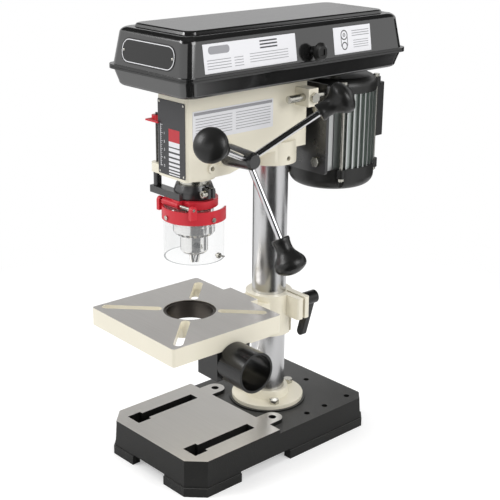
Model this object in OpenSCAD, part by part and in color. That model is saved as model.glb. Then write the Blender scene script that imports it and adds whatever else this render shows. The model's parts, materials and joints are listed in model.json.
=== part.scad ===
// Benchtop drill press with a belt drive, a sliding table and a hinged chuck guard.
// Origin: midway between the two bench bolts, on the foot plane. Front is -Y, the feed levers are on +X.

/* [Base] */
// Width of the base's deck
base_w = 183; // [176:1:200]
// Length of the base's deck
base_l = 314; // [306:1:340]
// Distance from the bench bolts to the front edge
base_front = 163; // [158:1:175]
// Height of the rear deck
base_h = 43; // [38:1:50]
// Height of the ground pad above the deck
pad_h = 5.5; // [4:0.5:8]
// Wall of the casting
base_wall = 9; // [7:0.5:11]
// Thickness of the deck
deck_t = 13; // [10:0.5:16]
// How far the foot rim stands out
foot_flare = 3; // [2:0.5:5]
// Height of the foot rim
foot_rim_h = 12; // [9:0.5:13]
// Height of the arches between the feet
arch_h = 14; // [10:0.5:18]
// Width of the arch in the front and rear walls
front_arch_w = 64; // [50:1:80]
// Length of the arch in each side wall
side_arch_l = 87; // [70:1:95]
// Plan chamfer of the two front corners
front_chamfer = 21; // [15:0.5:26]
// Plan chamfer of the two rear corners
rear_chamfer = 13.5; // [10:0.5:18]
// Distance between the two bench bolts
bolt_spacing = 117; // [112:1:122]
// Bench bolt hole
bolt_hole_d = 10; // [8:0.5:12]
// Radius of the ear round each bench bolt
ear_r = 13.5; // [12:0.5:15]
// Distance between the two clamping slots
slot_spacing = 116; // [108:1:120]
// Width of a clamping slot
slot_w = 14.5; // [12:0.5:18]
// Length of a clamping slot
slot_l = 105; // [90:1:110]
// Width of a slot's mouth
slot_mouth_w = 24; // [20:0.5:28]
// Length of a slot's mouth
slot_mouth_l = 20; // [16:0.5:26]
// Storage hole in the rear deck
deck_hole_d = 8; // [6:0.5:10]

/* [Column] */
// Diameter of the column
column_d = 46; // [44:0.5:48]
// Wall of the column tube
column_wall = 4; // [3:0.5:6]
// Length of the column
column_len = 423; // [400:1:428]
// Distance from the bench bolts back to the column axis
column_back = 46; // [45:0.5:50]
// Diameter of the column flange
flange_d = 99; // [97:0.5:102]
// Thickness of the flange at its edge
flange_t = 5.5; // [4:0.5:8]
// Height of the flange hub
flange_hub_h = 11; // [8:0.5:14]
// Bolt circle of the flange
flange_pcd = 80; // [79:0.5:82]

/* [Head] */
// Distance from the column axis to the spindle axis
throat = 131; // [129:0.5:135]
// Width of the head
head_w = 56; // [54:0.5:60]
// Height of the head
head_h = 109; // [107:0.5:112]
// Height of the head's underside at the quill
head_bottom = 388; // [384:0.5:392]
// Distance from the spindle axis to the head's front face
head_front = 34; // [32:0.5:36]
// Distance from the column axis to the head's rear face
head_back = 38; // [36:0.5:39]
// How much higher the underside is at the rear
rear_rise = 16; // [12:0.5:20]
// Diameter of the boss round the column
column_boss_d = 66; // [62:0.5:70]

/* [Quill] */
// Diameter of the quill
quill_d = 38; // [37.5:0.25:39]
// How far the quill hangs below the head
quill_drop = 38; // [36:0.5:40]
// Length of the quill
quill_len = 122; // [120:0.5:124]
// Travel of the quill
quill_travel = 50; // [40:1:50]
// Module of the rack and its pinion
rack_module = 1.5; // [1.5:0.05:1.6]
// Teeth on the pinion
pinion_teeth = 12; // [12:1:12]
// Diameter of the quill collar
collar_d = 50; // [48:0.5:54]
// Height of the collar's upper step
collar_h = 16; // [14:0.5:18]
// Diameter of the collar's neck
neck_d = 43.6; // [43:0.2:44.6]
// Height of the collar's neck
neck_h = 12; // [11:0.5:13]

/* [Depth stop] */
// Distance of the depth rod to the left of the spindle axis
rod_x = 44; // [42:0.5:46]
// Distance of the depth rod in front of the spindle axis
rod_front = 22; // [21:0.5:23]
// Diameter of the depth rod
rod_d = 3; // [2.5:0.25:4]
// Diameter of the post under the rod
post_d = 10; // [8:0.5:11]
// Height of the lug that guides the rod
lug_h = 12; // [10:0.5:13]

/* [Spindle and chuck] */
// Diameter of the spindle
spindle_d = 12; // [11.5:0.25:12.5]
// Diameter of the chuck sleeve
sleeve_d = 53; // [50:0.5:54]
// Height of the chuck sleeve
sleeve_h = 24; // [22:0.5:26]
// Diameter of the chuck's nose
nose_d = 35; // [34:0.5:37]
// Height of the chuck's nose
nose_h = 25; // [24:0.5:28]
// How far the jaws stand out of the nose
jaw_out = 13; // [11:0.5:15]
// Diameter of a jaw
jaw_d = 7.2; // [6.6:0.2:7.6]
// Slope of a jaw to the spindle axis
jaw_slope = 12; // [10:0.5:13]

/* [Guard] */
// Outer diameter of the shield
shield_d = 76.4; // [75:0.2:80]
// Wall of the shield
shield_wall = 2; // [1.5:0.25:3]
// Height of the shield
shield_h = 66; // [60:0.5:70]
// Wall of the guard bracket
bracket_wall = 2; // [1.5:0.25:3]
// Height of the guard bracket
bracket_h = 16; // [14:0.5:18]
// Half the angle that the guard covers, from the front
guard_angle = 130; // [110:1:132]
// Diameter of the guard's hinge pin
guard_pin_d = 4; // [3.5:0.25:4.5]
// Length of the guard's hinge pin
guard_pin_l = 67; // [65:0.5:70]
// Distance of the hinge pin in front of the spindle axis
guard_pin_front = 28; // [27.5:0.25:29]

/* [Feed] */
// Diameter of the feed hub at the head
hub_d = 27; // [25:0.5:30]
// Length of the feed hub
hub_l = 47; // [45:0.5:52]
// Diameter of the pinion shaft
shaft_d = 16; // [15:0.5:17]
// Diameter of a lever
lever_d = 8; // [7:0.25:9]
// Length of a lever from the hub axis to its knob
lever_l = 101; // [90:1:110]
// Tilt of the levers away from the head
lever_tilt = 26.8; // [22:0.1:30]
// Turn of the first lever from the rear
lever_turn = 37; // [0:1:119]
// Diameter of a knob
knob_d = 40; // [36:0.5:44]
// Length of a knob
knob_l = 46; // [43:0.5:50]

/* [Table] */
// Width of the table
table_w = 174; // [164:1:184]
// Depth of the table
table_l = 171; // [166:1:178]
// Height of the table's rim
table_t = 23.5; // [21:0.5:26]
// Thickness of the table's plate
table_plate = 10; // [8:0.5:12]
// Height of the table's top
table_top = 208; // [200:1:220]
// Distance from the column axis to the table's middle
table_reach = 142; // [140:0.5:146]
// Swing of the table round the column
table_swing = -2; // [-6:0.5:6]
// Hole through the table
table_hole_d = 60; // [56:0.5:62]
// Width of the table's clamping slots
table_slot_w = 12; // [10:0.5:14]
// Height of the column collar
table_collar_h = 57; // [52:0.5:60]
// Wall of the column collar
table_collar_wall = 8.5; // [7:0.5:9]
// Diameter of the clamp bolt
clamp_bolt_d = 10; // [8:0.5:11]
// Length of the lock handle
handle_l = 62; // [50:1:70]

/* [Dust port] */
// Outer diameter of the dust port
port_d = 52; // [48:0.5:54]
// Wall of the dust port
port_wall = 3; // [2:0.25:4]
// How far the port stands out beside the table
port_l = 43; // [35:0.5:50]

/* [Cover] */
// Width over the cover's lip
cover_w = 153; // [150:0.5:160]
// Length over the cover's lip
cover_l = 380; // [377:1:386]
// Distance from the spindle axis to the cover's front lip
cover_front = 74; // [72:0.5:76]
// Height of the tray
tray_h = 23; // [21:0.5:26]
// Height of the lid up to its shoulder
lid_h = 43; // [41:0.5:48]
// Height of the raised panel on the lid
panel_h = 8; // [6:0.5:10]
// Sheet thickness of the cover
cover_wall = 2.2; // [1.8:0.1:2.6]
// Thickness of the lip on each half
lip_t = 2.6; // [2.2:0.1:3.2]
// Diameter of the lid's knob
cover_knob_d = 23; // [20:0.5:26]

/* [Drive] */
// Radius of the middle pulley step
step_r = 35; // [33:0.5:36]
// Difference of radius from step to step
step_dr = 5; // [4:0.25:5.25]
// Height of a pulley step
step_h = 10.4; // [10:0.1:10.6]

/* [Motor] */
// Outer diameter of the motor
motor_d = 116; // [112:0.5:120]
// Distance from the column axis to the motor axis
motor_back = 115; // [114:0.5:118]
// Height of the motor's lower end
motor_bottom = 336; // [330:1:342]
// Height of the lower end bell
lower_bell_h = 30; // [28:0.5:34]
// Length of the finned body
motor_body_l = 100; // [96:0.5:104]
// Height of the upper end bell
upper_bell_h = 19; // [17:0.5:21]
// Cooling fins round the body
fin_count = 40; // [30:2:44]
// Height of a cooling fin
fin_h = 4.5; // [3.5:0.25:5.5]
// Thickness of the motor mount plate
mount_t = 5; // [4:0.5:6]
// Width of the motor mount plate
mount_w = 100; // [98:0.5:104]
// Diameter of a motor slide bar
bar_d = 10; // [9:0.5:11]
// Distance between the two slide bars
bar_spacing = 84; // [82:0.5:88]

/* [Clearances] */
// Radial gap between pieces that are fixed together
seat_gap = 0.05; // [0.03:0.01:0.08]
// Radial gap of a shaft or pin that turns or slides
run_gap = 0.06; // [0.04:0.01:0.09]
// Gap between pieces that pass each other
free_gap = 0.4; // [0.3:0.05:0.5]

/* [Hidden] */
$fn = 64;
// Facets round the small ends of a lofted shape
LOFT_FN = 32;
// Thickness of the sheets that a loft runs between
LOFT_T = 0.1;
// How far a cut runs past the face that it opens
CUT = 1;

CREAM = [0.87, 0.84, 0.75];
BLACK = [0.12, 0.12, 0.12];
STEEL = [0.72, 0.72, 0.74];
RED = [0.80, 0.18, 0.22];

// Plan positions of the four upright axes
column_y = column_back;
spindle_y = column_y - throat;
motor_y = column_y + motor_back;

// Base
skirt_flare = foot_flare / 2;
base_rear = base_l - base_front;
pad_rear = -17;
slot_front = base_front - 19;
bolt_boss_step = 1.5;
flange_boss_h = 2.5;
flange_boss_margin = 3;
flange_seat = base_h + flange_boss_h;
flange_bolt_d = 8;
flange_bolt_grip = 16;
deck_holes = [[-74.5, 50], [74.5, 50], [-75, 84], [75, 84], [-74.5, 129], [74.5, 129], [0, 124]];

// Column and its flange
column_r = column_d / 2;
flange_top = flange_seat + flange_t;
flange_tap = flange_bolt_grip - flange_t + 1.5;
flange_hub_wall = 5;

// Head
head_top = head_bottom + head_h;
head_corner = 5;
nose_ring_h = 3;
nose_ring_r = 26.5;
column_boss_bottom = head_bottom - 4;
column_boss_h = rear_rise + 14;
head_bore_r = quill_d / 2 + run_gap;
bar_z = head_top - 26;
bar_lug_w = 24;
bar_lug_l = 17;
bar_lug_h = 23;
bar_lug_y = column_y + 14;
bar_lock_d = 8;
gib_z = head_bottom + 12;
gib_y = spindle_y + 4;
column_screw_z = head_bottom + 4;
set_screw_d = 6;
set_screw_l = 6;
gib_boss_r = 6;
gib_boss_l = 3;

// Quill and its parts, at rest
quill_r = quill_d / 2;
quill_bottom = head_bottom - quill_drop;
quill_bore_d = spindle_d + 6;
collar_neck_top = quill_bottom + neck_h;
rack_line = quill_r - 2;
addendum = rack_module - 0.1;
dedendum = rack_module + 0.4;
rack_pitch = PI * rack_module;
backlash = 0.25;
flank = 20;
pinion_r = rack_module * pinion_teeth / 2;
pinion_w = 14;
rack_teeth = ceil(quill_travel / rack_pitch) + 2;
lower_bearing_d = 32;
lower_bearing_h = 10;
upper_bearing_d = 28;
upper_bearing_h = 8;
collar_bar_h = 9;
collar_bar_w = 14;
collar_bar_left = rod_x + 7;
collar_ear_w = 9;
collar_slit = 2;
collar_bolt_d = 6;
collar_bar_z = collar_neck_top - 2;

// Depth stop
rod_y = spindle_y - rod_front;
lug_bottom = head_bottom - 1;
lug_top = lug_bottom + lug_h;
lug_r = 7;
post_top = lug_bottom - 1;
pointer_bottom = lug_top + quill_travel + 1;
pointer_h = 8;
pointer_r = 6;
rod_top = pointer_bottom + pointer_h + 3;

// Spindle and chuck
spindle_r = spindle_d / 2;
taper_r = spindle_r + 2;
chuck_gap = 3;
chuck_top = quill_bottom - chuck_gap;
chuck_cap_h = 10.5;
chuck_cap_d = sleeve_d - 3;
sleeve_top = chuck_top - chuck_cap_h;
sleeve_bottom = sleeve_top - sleeve_h;
nose_bottom = sleeve_bottom - nose_h;
jaw_tip = nose_bottom - jaw_out;
jaw_l = 46;
jaw_tip_offset = 2;
jaw_travel = 10;
jaw_wedge = 60;
taper_bottom = chuck_top - 16;
sleeve_teeth = 30;
key_hole_d = 8;
spindle_top = head_top + 59;
spline_teeth = 6;
spline_depth = 1;
spline_w = 3;

// Guard
guard_pin_z = quill_bottom + 4;
guard_pin_y = spindle_y - guard_pin_front;
shield_r = shield_d / 2;
bracket_r = shield_r + seat_gap + bracket_wall;
bracket_top = quill_bottom - 0.5;
barrel_r = guard_pin_d / 2 + 2.6;
guard_ring_r = 30;
guard_ring_h = 10;
barrel_left = 24;
barrel_right = 6;
guard_lug_w = 5;
shield_sink = 1;
guard_screw_d = 3;
guard_screw_head_h = 1.8;
guard_screw_turns = [-6, 86, -96];
guard_screw_z = bracket_top - 10.5;
guard_latch_turn = 99;
guard_latch_z = bracket_top - shield_sink - shield_h + 8.5;
guard_latch_d = 7;
guard_latch_l = 9;

// Feed
feed_y = spindle_y + rack_line + pinion_r;
feed_z = head_bottom + 27;
feed_boss_r = 15;
feed_boss_l = 7;
hub_x = head_w / 2 + feed_boss_l + free_gap;
hub_end_d = 22;
hub_face_d = 17;
hub_chamfer = 4;
lever_x = hub_x + 34.5;
shaft_end = lever_x - 8;
shaft_stub_d = 13;
lever_start = 6.5;
knob_socket = 16;
// Outline of a knob from its mouth to its cap: shares of its radius and of its length
knob_outline = [
    [0, 0], [0.53, 0], [0.56, 0.02], [0.56, 0.08], [0.53, 0.12], [0.515, 0.22], [0.53, 0.33], [0.60, 0.41],
    [0.71, 0.48], [0.84, 0.555], [0.94, 0.62], [0.99, 0.69], [1, 0.745], [0.98, 0.80], [0.91, 0.855],
    [0.78, 0.90], [0.60, 0.945], [0.38, 0.98], [0.18, 0.996], [0, 1]
];
pinion_clear_r = pinion_r + addendum + 0.6;

// Return spring, in its cap on the left side
cap_boss_l = 3;
cap_r = 24;
cap_l = 20;
cap_wall = 2.5;
cap_grip_r = 1.6;
cap_grip_l = 6;
spring_turns = 4;
spring_t = 0.8;
spring_w = 11;
spring_inner_r = shaft_stub_d / 2 + 1;
spring_outer_r = cap_r - cap_wall - 0.5;

// Switch on the left side
switch_w = 18;
switch_l = 40;
switch_h = 40;
switch_y = spindle_y + 19;
switch_z = head_top - 31;
rocker_l = 20;
rocker_h = 26;
rocker_t = 8;
rocker_pivot = 4;
rocker_pin_d = 3;
rocker_pin_l = 4;

// Table, in its own frame with the column at its origin
table_bottom = table_top - table_t;
table_wall = 8;
table_back_y = -table_reach + table_l / 2;
hole_y = -table_reach + 6.5;
insert_wall = 2;
insert_rim_r = table_hole_d / 2 + 4;
insert_rim_h = 3;
insert_boss_wall = 6;
table_collar_r = column_r + run_gap + table_collar_wall;
table_collar_top = table_top - 4.5;
table_collar_bottom = table_collar_top - table_collar_h;
tongue_w = 56;
tongue_l = 12;
arm_w = 50;
slot_inner = 42;
slot_outer_front = 108;
slot_outer_back = 93;
ear_x = table_collar_r + 12.5;
ear_z = table_top - 12;
clamp_ear_r = 10.5;
clamp_ear_h = 30;
clamp_ear_edge = 3;
stud_cover = 2.5;
ear_y = 4;
ear_t = 8.5;
ear_slit = 4;
ear_back = ear_y + 2 * ear_t + ear_slit;
handle_hub_r = 9;
handle_hub_l = 18;
hub_cap = 4;
handle_t = 8;
handle_w = 11;
handle_lean = 16;
handle_y = ear_back + free_gap;

// Dust port, in the table's frame
port_r = port_d / 2;
port_z = table_bottom - 18;
port_x = table_w / 2 + 1;
box_left = 50;
box_bottom = port_z - port_r + 6;

// Cover
cover_y = spindle_y - cover_front + cover_l / 2;
tray_z = head_top;
lip_z = tray_z + tray_h;
lid_gap = 0.3;
lid_z = lip_z + lid_gap;
shoulder_z = lid_z + lid_h;
panel_z = shoulder_z + panel_h;
lip_inset = 3.8;
tray_inset = 8;
tray_edge = 3;
shoulder_inset = 9.5;
top_inset = 16;
shoulder_drop = 7;
panel_inset = 29;
panel_taper = 4;
top_panel_inset = panel_inset + panel_taper;
lip_corner = 20;
loft_corner = 17;
top_corner = 12;
hinge_pin_d = 4;
knuckle_r = 3.8;
knuckle_l = 14;
hinge_x = cover_w / 2 + knuckle_r + free_gap;
hinge_z = lip_z + lid_gap / 2;
hinge_ys = [cover_y - cover_l * 0.32, cover_y + cover_l * 0.32];
cover_knob_z = lid_z + 14;
cover_knob_l = 16.2;
knob_stud_d = 5;
knob_lift = 0.8;
knob_recess = 7.5;
knob_recess_t = 1.5;
tray_screw_d = 6;
tray_screw_l = 11;
tray_screw_head_d = 12;
tray_screw_head_h = 3;
driver_slot = 1.2;
tray_screw_at = [[-20, column_y - 50], [20, column_y - 50], [-20, column_y + 28], [20, column_y + 28]];

// Drive
pulley_z = tray_z + cover_wall + 4;
step_count = 5;
groove_d = 7;
groove_w = 8.4;
groove_floor_w = 5.2;
belt_z = pulley_z + step_h * step_count / 2;
belt_gap = 0.5;
sleeve_r = spindle_r + 5;
bearing_h = 8;
bearing_z = head_top - bearing_h - 2;
shaft_top = pulley_z + step_h * step_count + 2;

// Motor
motor_r = motor_d / 2;
body_z = motor_bottom + lower_bell_h;
body_top = body_z + motor_body_l;
motor_top = body_top + upper_bell_h;
bell_wall = 5;
motor_shaft_d = 15;
motor_bore_r = motor_r - fin_h - 6;
fin_w = 1.8;
motor_bolt_d = 5;
motor_bolt_r = motor_r + 0.5;
motor_bolt_seat = 4.8;
upper_ear_h = upper_bell_h - 6;
lower_ear_h = 12;
motor_nut_h = 4;
motor_bolt_turn = 56;
motor_ear_r = 6;
foot_w = 84;
mount_bolt_reach = 6;
mount_y = motor_y - motor_r - 2;
mount_bottom = body_z - 2;
mount_top = bar_z + 12;
mount_bolt_x = 35;
mount_bolt_zs = [body_z + 14, body_top - 16];
mount_bolt_d = 8;
bar_front = column_y - 12;
motor_slide = 10;
box_w = 54;
box_l = 20;
box_z = body_z + 28;
box_h = 74;
motor_bearing_d = 32;
motor_bearing_h = 9;
stator_r = 33;
rotor_gap = 0.6;
rotor_h = 80;
fan_r = motor_r - bell_wall - 4;
fan_h = 14;
fan_disc_z = 10;
fan_sheet = 2;
fan_hub_wall = 4;
fan_blades = 8;
vent_l = 16;
vent_w = 4;
stator_slots = 24;
stator_slot_l = 8;
stator_slot_w = 3;

// Moves to one of the upright axes
module at_column() { translate([0, column_y, 0]) children(); }
module at_spindle() { translate([0, spindle_y, 0]) children(); }
module at_motor() { translate([0, motor_y, 0]) children(); }
module on_table() { at_column() rotate([0, 0, table_swing]) children(); }

// Turns an upright shape to lie along +X or +Y
module along_x() { rotate([0, 90, 0]) children(); }
module along_y() { rotate([-90, 0, 0]) children(); }

// Runs a profile drawn in Y and Z across the width of the head
module across(width) { rotate([90, 0, 90]) linear_extrude(width, center = true) children(); }

module both_sides() {
    children();
    mirror([1, 0, 0]) children();
}

module tube(outer_r, inner_r, h) {
    difference() {
        cylinder(r = outer_r, h = h);
        translate([0, 0, -CUT]) cylinder(r = inner_r, h = h + 2 * CUT);
    }
}

// Rectangle with round corners, centred
module round_rect(w, l, r, fn = $fn) {
    square([w - 2 * r, l], center = true);
    square([w, l - 2 * r], center = true);
    for (x = [-1, 1], y = [-1, 1]) translate([x * (w / 2 - r), y * (l / 2 - r)]) circle(r, $fn = fn);
}

// Hexagon bolt standing on z = 0 with its shank below
module hex_bolt(d, grip, head_h) {
    cylinder(d = 1.75 * d, h = head_h, $fn = 6);
    translate([0, 0, -grip]) cylinder(d = d, h = grip + head_h / 2);
}

// Ring of the guard that leaves the back open
module guard_band(outer_r, inner_r, h) {
    rotate([0, 0, -90 - guard_angle]) rotate_extrude(angle = 2 * guard_angle)
        translate([inner_r, 0]) square([outer_r - inner_r, h]);
}

// Base
function plan_points(grow) =
    let (w = base_w / 2 + grow, f = -base_front - grow, b = base_rear + grow)
    [
        [-w + front_chamfer, f], [w - front_chamfer, f], [w, f + front_chamfer], [w, b - rear_chamfer],
        [w - rear_chamfer, b], [-w + rear_chamfer, b], [-w, b - rear_chamfer], [-w, f + front_chamfer]
    ];

module base_sheet(z, grow, t) { translate([0, 0, z]) linear_extrude(t) polygon(plan_points(grow)); }

module bolt_places() {
    for (x = [-1, 1] * bolt_spacing / 2) translate([x, 0, 0]) children();
}

module pad_plan() {
    intersection() {
        polygon(plan_points(0));
        translate([-base_w, pad_rear - base_front]) square([2 * base_w, base_front]);
    }
    bolt_places() {
        circle(ear_r);
        translate([-ear_r, pad_rear - CUT]) square([2 * ear_r, CUT - pad_rear]);
    }
}

module slot_plan() {
    for (x = [-1, 1] * slot_spacing / 2) {
        translate([x - slot_w / 2, -slot_front]) square([slot_w, slot_l]);
        translate([x - slot_mouth_w / 2, -slot_front]) square([slot_mouth_w, slot_mouth_l]);
    }
}

// Outside of the casting
module base_block() {
    base_sheet(0, foot_flare, foot_rim_h);
    hull() {
        base_sheet(foot_rim_h - LOFT_T, skirt_flare, LOFT_T);
        base_sheet(base_h - LOFT_T, 0, LOFT_T);
    }
    translate([0, 0, base_h - deck_t]) linear_extrude(deck_t + pad_h) pad_plan();
    at_column() translate([0, 0, base_h - deck_t])
        cylinder(d = flange_d + 2 * flange_boss_margin, h = deck_t + flange_boss_h);
}

// Hollow under the deck, with the arches between the feet
module base_hollow() {
    arch_cut = base_wall + foot_flare + 2 * CUT;
    base_sheet(-CUT, -base_wall, base_h - deck_t + CUT);
    for (y = [-base_front - foot_flare - CUT, base_rear - base_wall - CUT])
        translate([-front_arch_w / 2, y, -CUT]) cube([front_arch_w, arch_cut, arch_h + CUT]);
    translate([-base_w, -side_arch_l, -CUT]) cube([2 * base_w, side_arch_l, arch_h + CUT]);
}

module base() color(BLACK) difference() {
    union() {
        difference() {
            base_block();
            base_hollow();
        }
        bolt_places() cylinder(r = ear_r - bolt_boss_step, h = base_h);
    }
    translate([0, 0, -CUT]) linear_extrude(base_h + pad_h + 2 * CUT) slot_plan();
    bolt_places() translate([0, 0, -CUT]) cylinder(d = bolt_hole_d, h = base_h + pad_h + 2 * CUT);
    for (p = deck_holes) translate(p) cylinder(d = deck_hole_d, h = base_h + CUT);
    at_column() flange_bolt_places() translate([0, 0, flange_seat - flange_tap])
        cylinder(d = flange_bolt_d + 2 * seat_gap, h = flange_tap + CUT);
}

// Column
module flange_bolt_places() {
    for (a = [-30, 90, 210]) rotate(a) translate([flange_pcd / 2, 0, 0]) children();
}

module column_flange() color(CREAM) at_column() difference() {
    union() {
        translate([0, 0, flange_seat]) cylinder(d = flange_d, h = flange_t);
        translate([0, 0, flange_top])
            cylinder(r1 = column_r + flange_hub_wall + 2, r2 = column_r + flange_hub_wall, h = flange_hub_h);
    }
    translate([0, 0, flange_seat - CUT])
        cylinder(r = column_r + seat_gap, h = flange_t + flange_hub_h + 2 * CUT);
    flange_bolt_places() cylinder(d = flange_bolt_d + 2 * seat_gap, h = flange_top + CUT);
}

module flange_bolts() color(STEEL) at_column() flange_bolt_places()
    translate([0, 0, flange_top]) hex_bolt(flange_bolt_d, flange_bolt_grip, 6);

module column() color(STEEL) at_column() translate([0, 0, flange_seat])
    tube(column_r, column_r - column_wall, column_len);

// Head
module head_profile() {
    front = spindle_y - head_front;
    back = column_y + head_back;
    polygon([
        [front, head_bottom], [spindle_y + head_front, head_bottom],
        [column_y - column_boss_d / 2, head_bottom + rear_rise], [back, head_bottom + rear_rise],
        [back, head_top], [front, head_top]
    ]);
}

module bar_lug() {
    translate([head_w / 2 - CUT, bar_lug_y, bar_z - bar_lug_h / 2])
        cube([bar_lug_w + CUT, bar_lug_l, bar_lug_h]);
}

module head_body() {
    length = head_front + throat + head_back;
    intersection() {
        across(head_w) head_profile();
        translate([0, spindle_y - head_front + length / 2, head_bottom - CUT])
            linear_extrude(head_h + 2 * CUT) round_rect(head_w, length, head_corner);
    }
}

module headstock() color(CREAM) difference() {
    union() {
        head_body();
        at_spindle() translate([0, 0, head_bottom - nose_ring_h])
            cylinder(r = nose_ring_r, h = nose_ring_h + CUT);
        at_column() translate([0, 0, column_boss_bottom])
            cylinder(d = column_boss_d, h = column_boss_h);
        translate([-head_w / 2 - cap_boss_l, feed_y, feed_z]) along_x()
            cylinder(r = cap_r - 2, h = cap_boss_l + CUT);
        translate([head_w / 2 - CUT, feed_y, feed_z]) along_x()
            cylinder(r = feed_boss_r, h = feed_boss_l + CUT);
        translate([head_w / 2 - CUT, gib_y, gib_z]) along_x()
            cylinder(r = gib_boss_r, h = gib_boss_l + CUT);
        both_sides() bar_lug();
        translate([-rod_x, rod_y, lug_bottom]) cylinder(r = lug_r, h = lug_h);
        translate([-rod_x, rod_y - lug_r, lug_bottom]) cube([rod_x - head_w / 2 + CUT, 2 * lug_r, lug_h]);
    }
    at_spindle() translate([0, 0, head_bottom - nose_ring_h - CUT])
        cylinder(r = head_bore_r, h = head_h + nose_ring_h + 2 * CUT);
    at_column() translate([0, 0, column_boss_bottom - CUT])
        cylinder(r = column_r + seat_gap, h = flange_seat + column_len - column_boss_bottom + CUT + seat_gap);
    translate([-head_w / 2 - cap_boss_l - CUT, feed_y, feed_z]) along_x()
        cylinder(r = pinion_clear_r, h = head_w / 2 + cap_boss_l + CUT + pinion_w / 2 + free_gap);
    translate([0, feed_y, feed_z]) along_x()
        cylinder(r = shaft_d / 2 + run_gap, h = head_w / 2 + feed_boss_l + CUT);
    both_sides() {
        translate([bar_spacing / 2, bar_lug_y - CUT, bar_z]) along_y()
            cylinder(r = bar_d / 2 + run_gap, h = bar_lug_l + 2 * CUT);
        bar_lock_place() translate([0, 0, -bar_d / 2])
            cylinder(d = bar_lock_d + 2 * seat_gap, h = bar_lug_w + bar_d);
    }
    translate([-rod_x, rod_y, lug_bottom - CUT]) cylinder(d = rod_d + 2 * free_gap, h = lug_h + 2 * CUT);
    set_screw_places() translate([0, 0, -set_screw_d])
        cylinder(d = set_screw_d + 2 * seat_gap, h = head_w);
    tray_screw_places() translate([0, 0, -tray_screw_l - CUT])
        cylinder(d = tray_screw_d + 2 * seat_gap, h = tray_screw_l + 2 * CUT);
}

// Mouths of the bar lock screws, from the bar outwards
module bar_lock_place() {
    translate([bar_spacing / 2 + bar_d / 2, bar_lug_y + bar_lug_l / 2, bar_z]) along_x() children();
}

// Set screws start at what they press on: the quill gib and the column
module set_screw_places() {
    translate([head_bore_r + 1, gib_y, gib_z]) along_x() children();
    at_column() translate([column_r + seat_gap, 0, column_screw_z]) along_x() children();
}

module head_set_screws() color(STEEL) set_screw_places() difference() {
    cylinder(d = set_screw_d, h = set_screw_l);
    translate([0, 0, set_screw_l / 2]) cylinder(d = set_screw_d / 2, h = set_screw_l / 2 + CUT, $fn = 6);
}

module pulley_bearing() color(STEEL) at_spindle() translate([0, 0, bearing_z])
    tube(head_bore_r - seat_gap, sleeve_r + run_gap, bearing_h);

module bar_lock_bolts() color(STEEL) both_sides() bar_lock_place()
    translate([0, 0, bar_lug_w + head_w / 2 - bar_spacing / 2 - bar_d / 2 + run_gap])
        hex_bolt(bar_lock_d, bar_lug_w + head_w / 2 - bar_spacing / 2 - bar_d / 2, 5);

// Return spring
module at_cap() { translate([-head_w / 2 - cap_boss_l, feed_y, feed_z]) rotate([0, -90, 0]) children(); }

module spring_cap() color(BLACK) at_cap() difference() {
    cylinder(r = cap_r, h = cap_l);
    translate([0, 0, -CUT]) cylinder(r = cap_r - cap_wall, h = cap_l - cap_wall + CUT);
    cylinder(r = shaft_stub_d / 2 + run_gap, h = cap_l + CUT);
    for (a = [0 : 30 : 330]) rotate(a) translate([cap_r, 0, cap_l - cap_grip_l])
        cylinder(r = cap_grip_r, h = cap_grip_l + CUT);
}

function spring_point(turn, side) =
    let (r = spring_inner_r + (spring_outer_r - spring_inner_r) * turn / spring_turns + side * spring_t / 2)
    r * [cos(360 * turn), sin(360 * turn)];

module return_spring() color(STEEL) at_cap() translate([0, 0, 2]) linear_extrude(spring_w) polygon(concat(
    [for (i = [0 : 24 * spring_turns]) spring_point(i / 24, 1)],
    [for (i = [24 * spring_turns : -1 : 0]) spring_point(i / 24, -1)]
));

// Switch
module at_switch() { translate([-head_w / 2, switch_y, switch_z]) rotate([0, -90, 0]) children(); }

module switch_box() color(BLACK) at_switch() difference() {
    linear_extrude(switch_w) round_rect(switch_h, switch_l, 3);
    translate([0, 0, switch_w - rocker_t]) linear_extrude(rocker_t + CUT)
        square([rocker_h + 2 * free_gap + 2, rocker_l + 2 * free_gap], center = true);
    translate([0, -rocker_l / 2 - rocker_pin_l, switch_w - rocker_pivot]) along_y()
        cylinder(d = rocker_pin_d, h = rocker_l + 2 * rocker_pin_l);
}

// Rocker with a trunnion at each side
module switch_rocker() color(RED) at_switch() translate([0, 0, switch_w - rocker_pivot]) {
    rotate([90, 0, 0]) linear_extrude(rocker_l, center = true)
        polygon([[-rocker_h / 2, -1], [rocker_h / 2, -1], [rocker_h / 2, 7], [0, 4.5], [-rocker_h / 2, 5]]);
    translate([0, -rocker_l / 2 - rocker_pin_l + free_gap, 0]) along_y()
        cylinder(r = rocker_pin_d / 2 - run_gap, h = rocker_l + 2 * rocker_pin_l - 2 * free_gap);
}

// Cover
module cover_sheet(z, inset, r, t, fn = $fn) {
    translate([0, cover_y, z]) linear_extrude(t)
        round_rect(cover_w - 2 * inset, cover_l - 2 * inset, r, fn);
}

module tray_loft(grow, z0) {
    hull() {
        cover_sheet(z0, tray_inset + tray_edge - grow, loft_corner - tray_edge + grow, LOFT_T, LOFT_FN);
        cover_sheet(z0 + tray_edge, tray_inset - grow, loft_corner + grow, LOFT_T, LOFT_FN);
        cover_sheet(lip_z - LOFT_T, lip_inset - grow, loft_corner + grow, LOFT_T, LOFT_FN);
    }
}

// Knuckles of both lid hinges, each between y0 and y1 from the hinge's middle, with a leaf to the lip
module knuckles(y0, y1, leaf_z) {
    for (y = hinge_ys) translate([-hinge_x, y + y0, 0]) {
        translate([0, 0, hinge_z]) along_y() cylinder(r = knuckle_r, h = y1 - y0);
        translate([0, 0, leaf_z]) cube([hinge_x - cover_w / 2 + lip_inset / 2, y1 - y0, lip_t]);
    }
}

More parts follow.
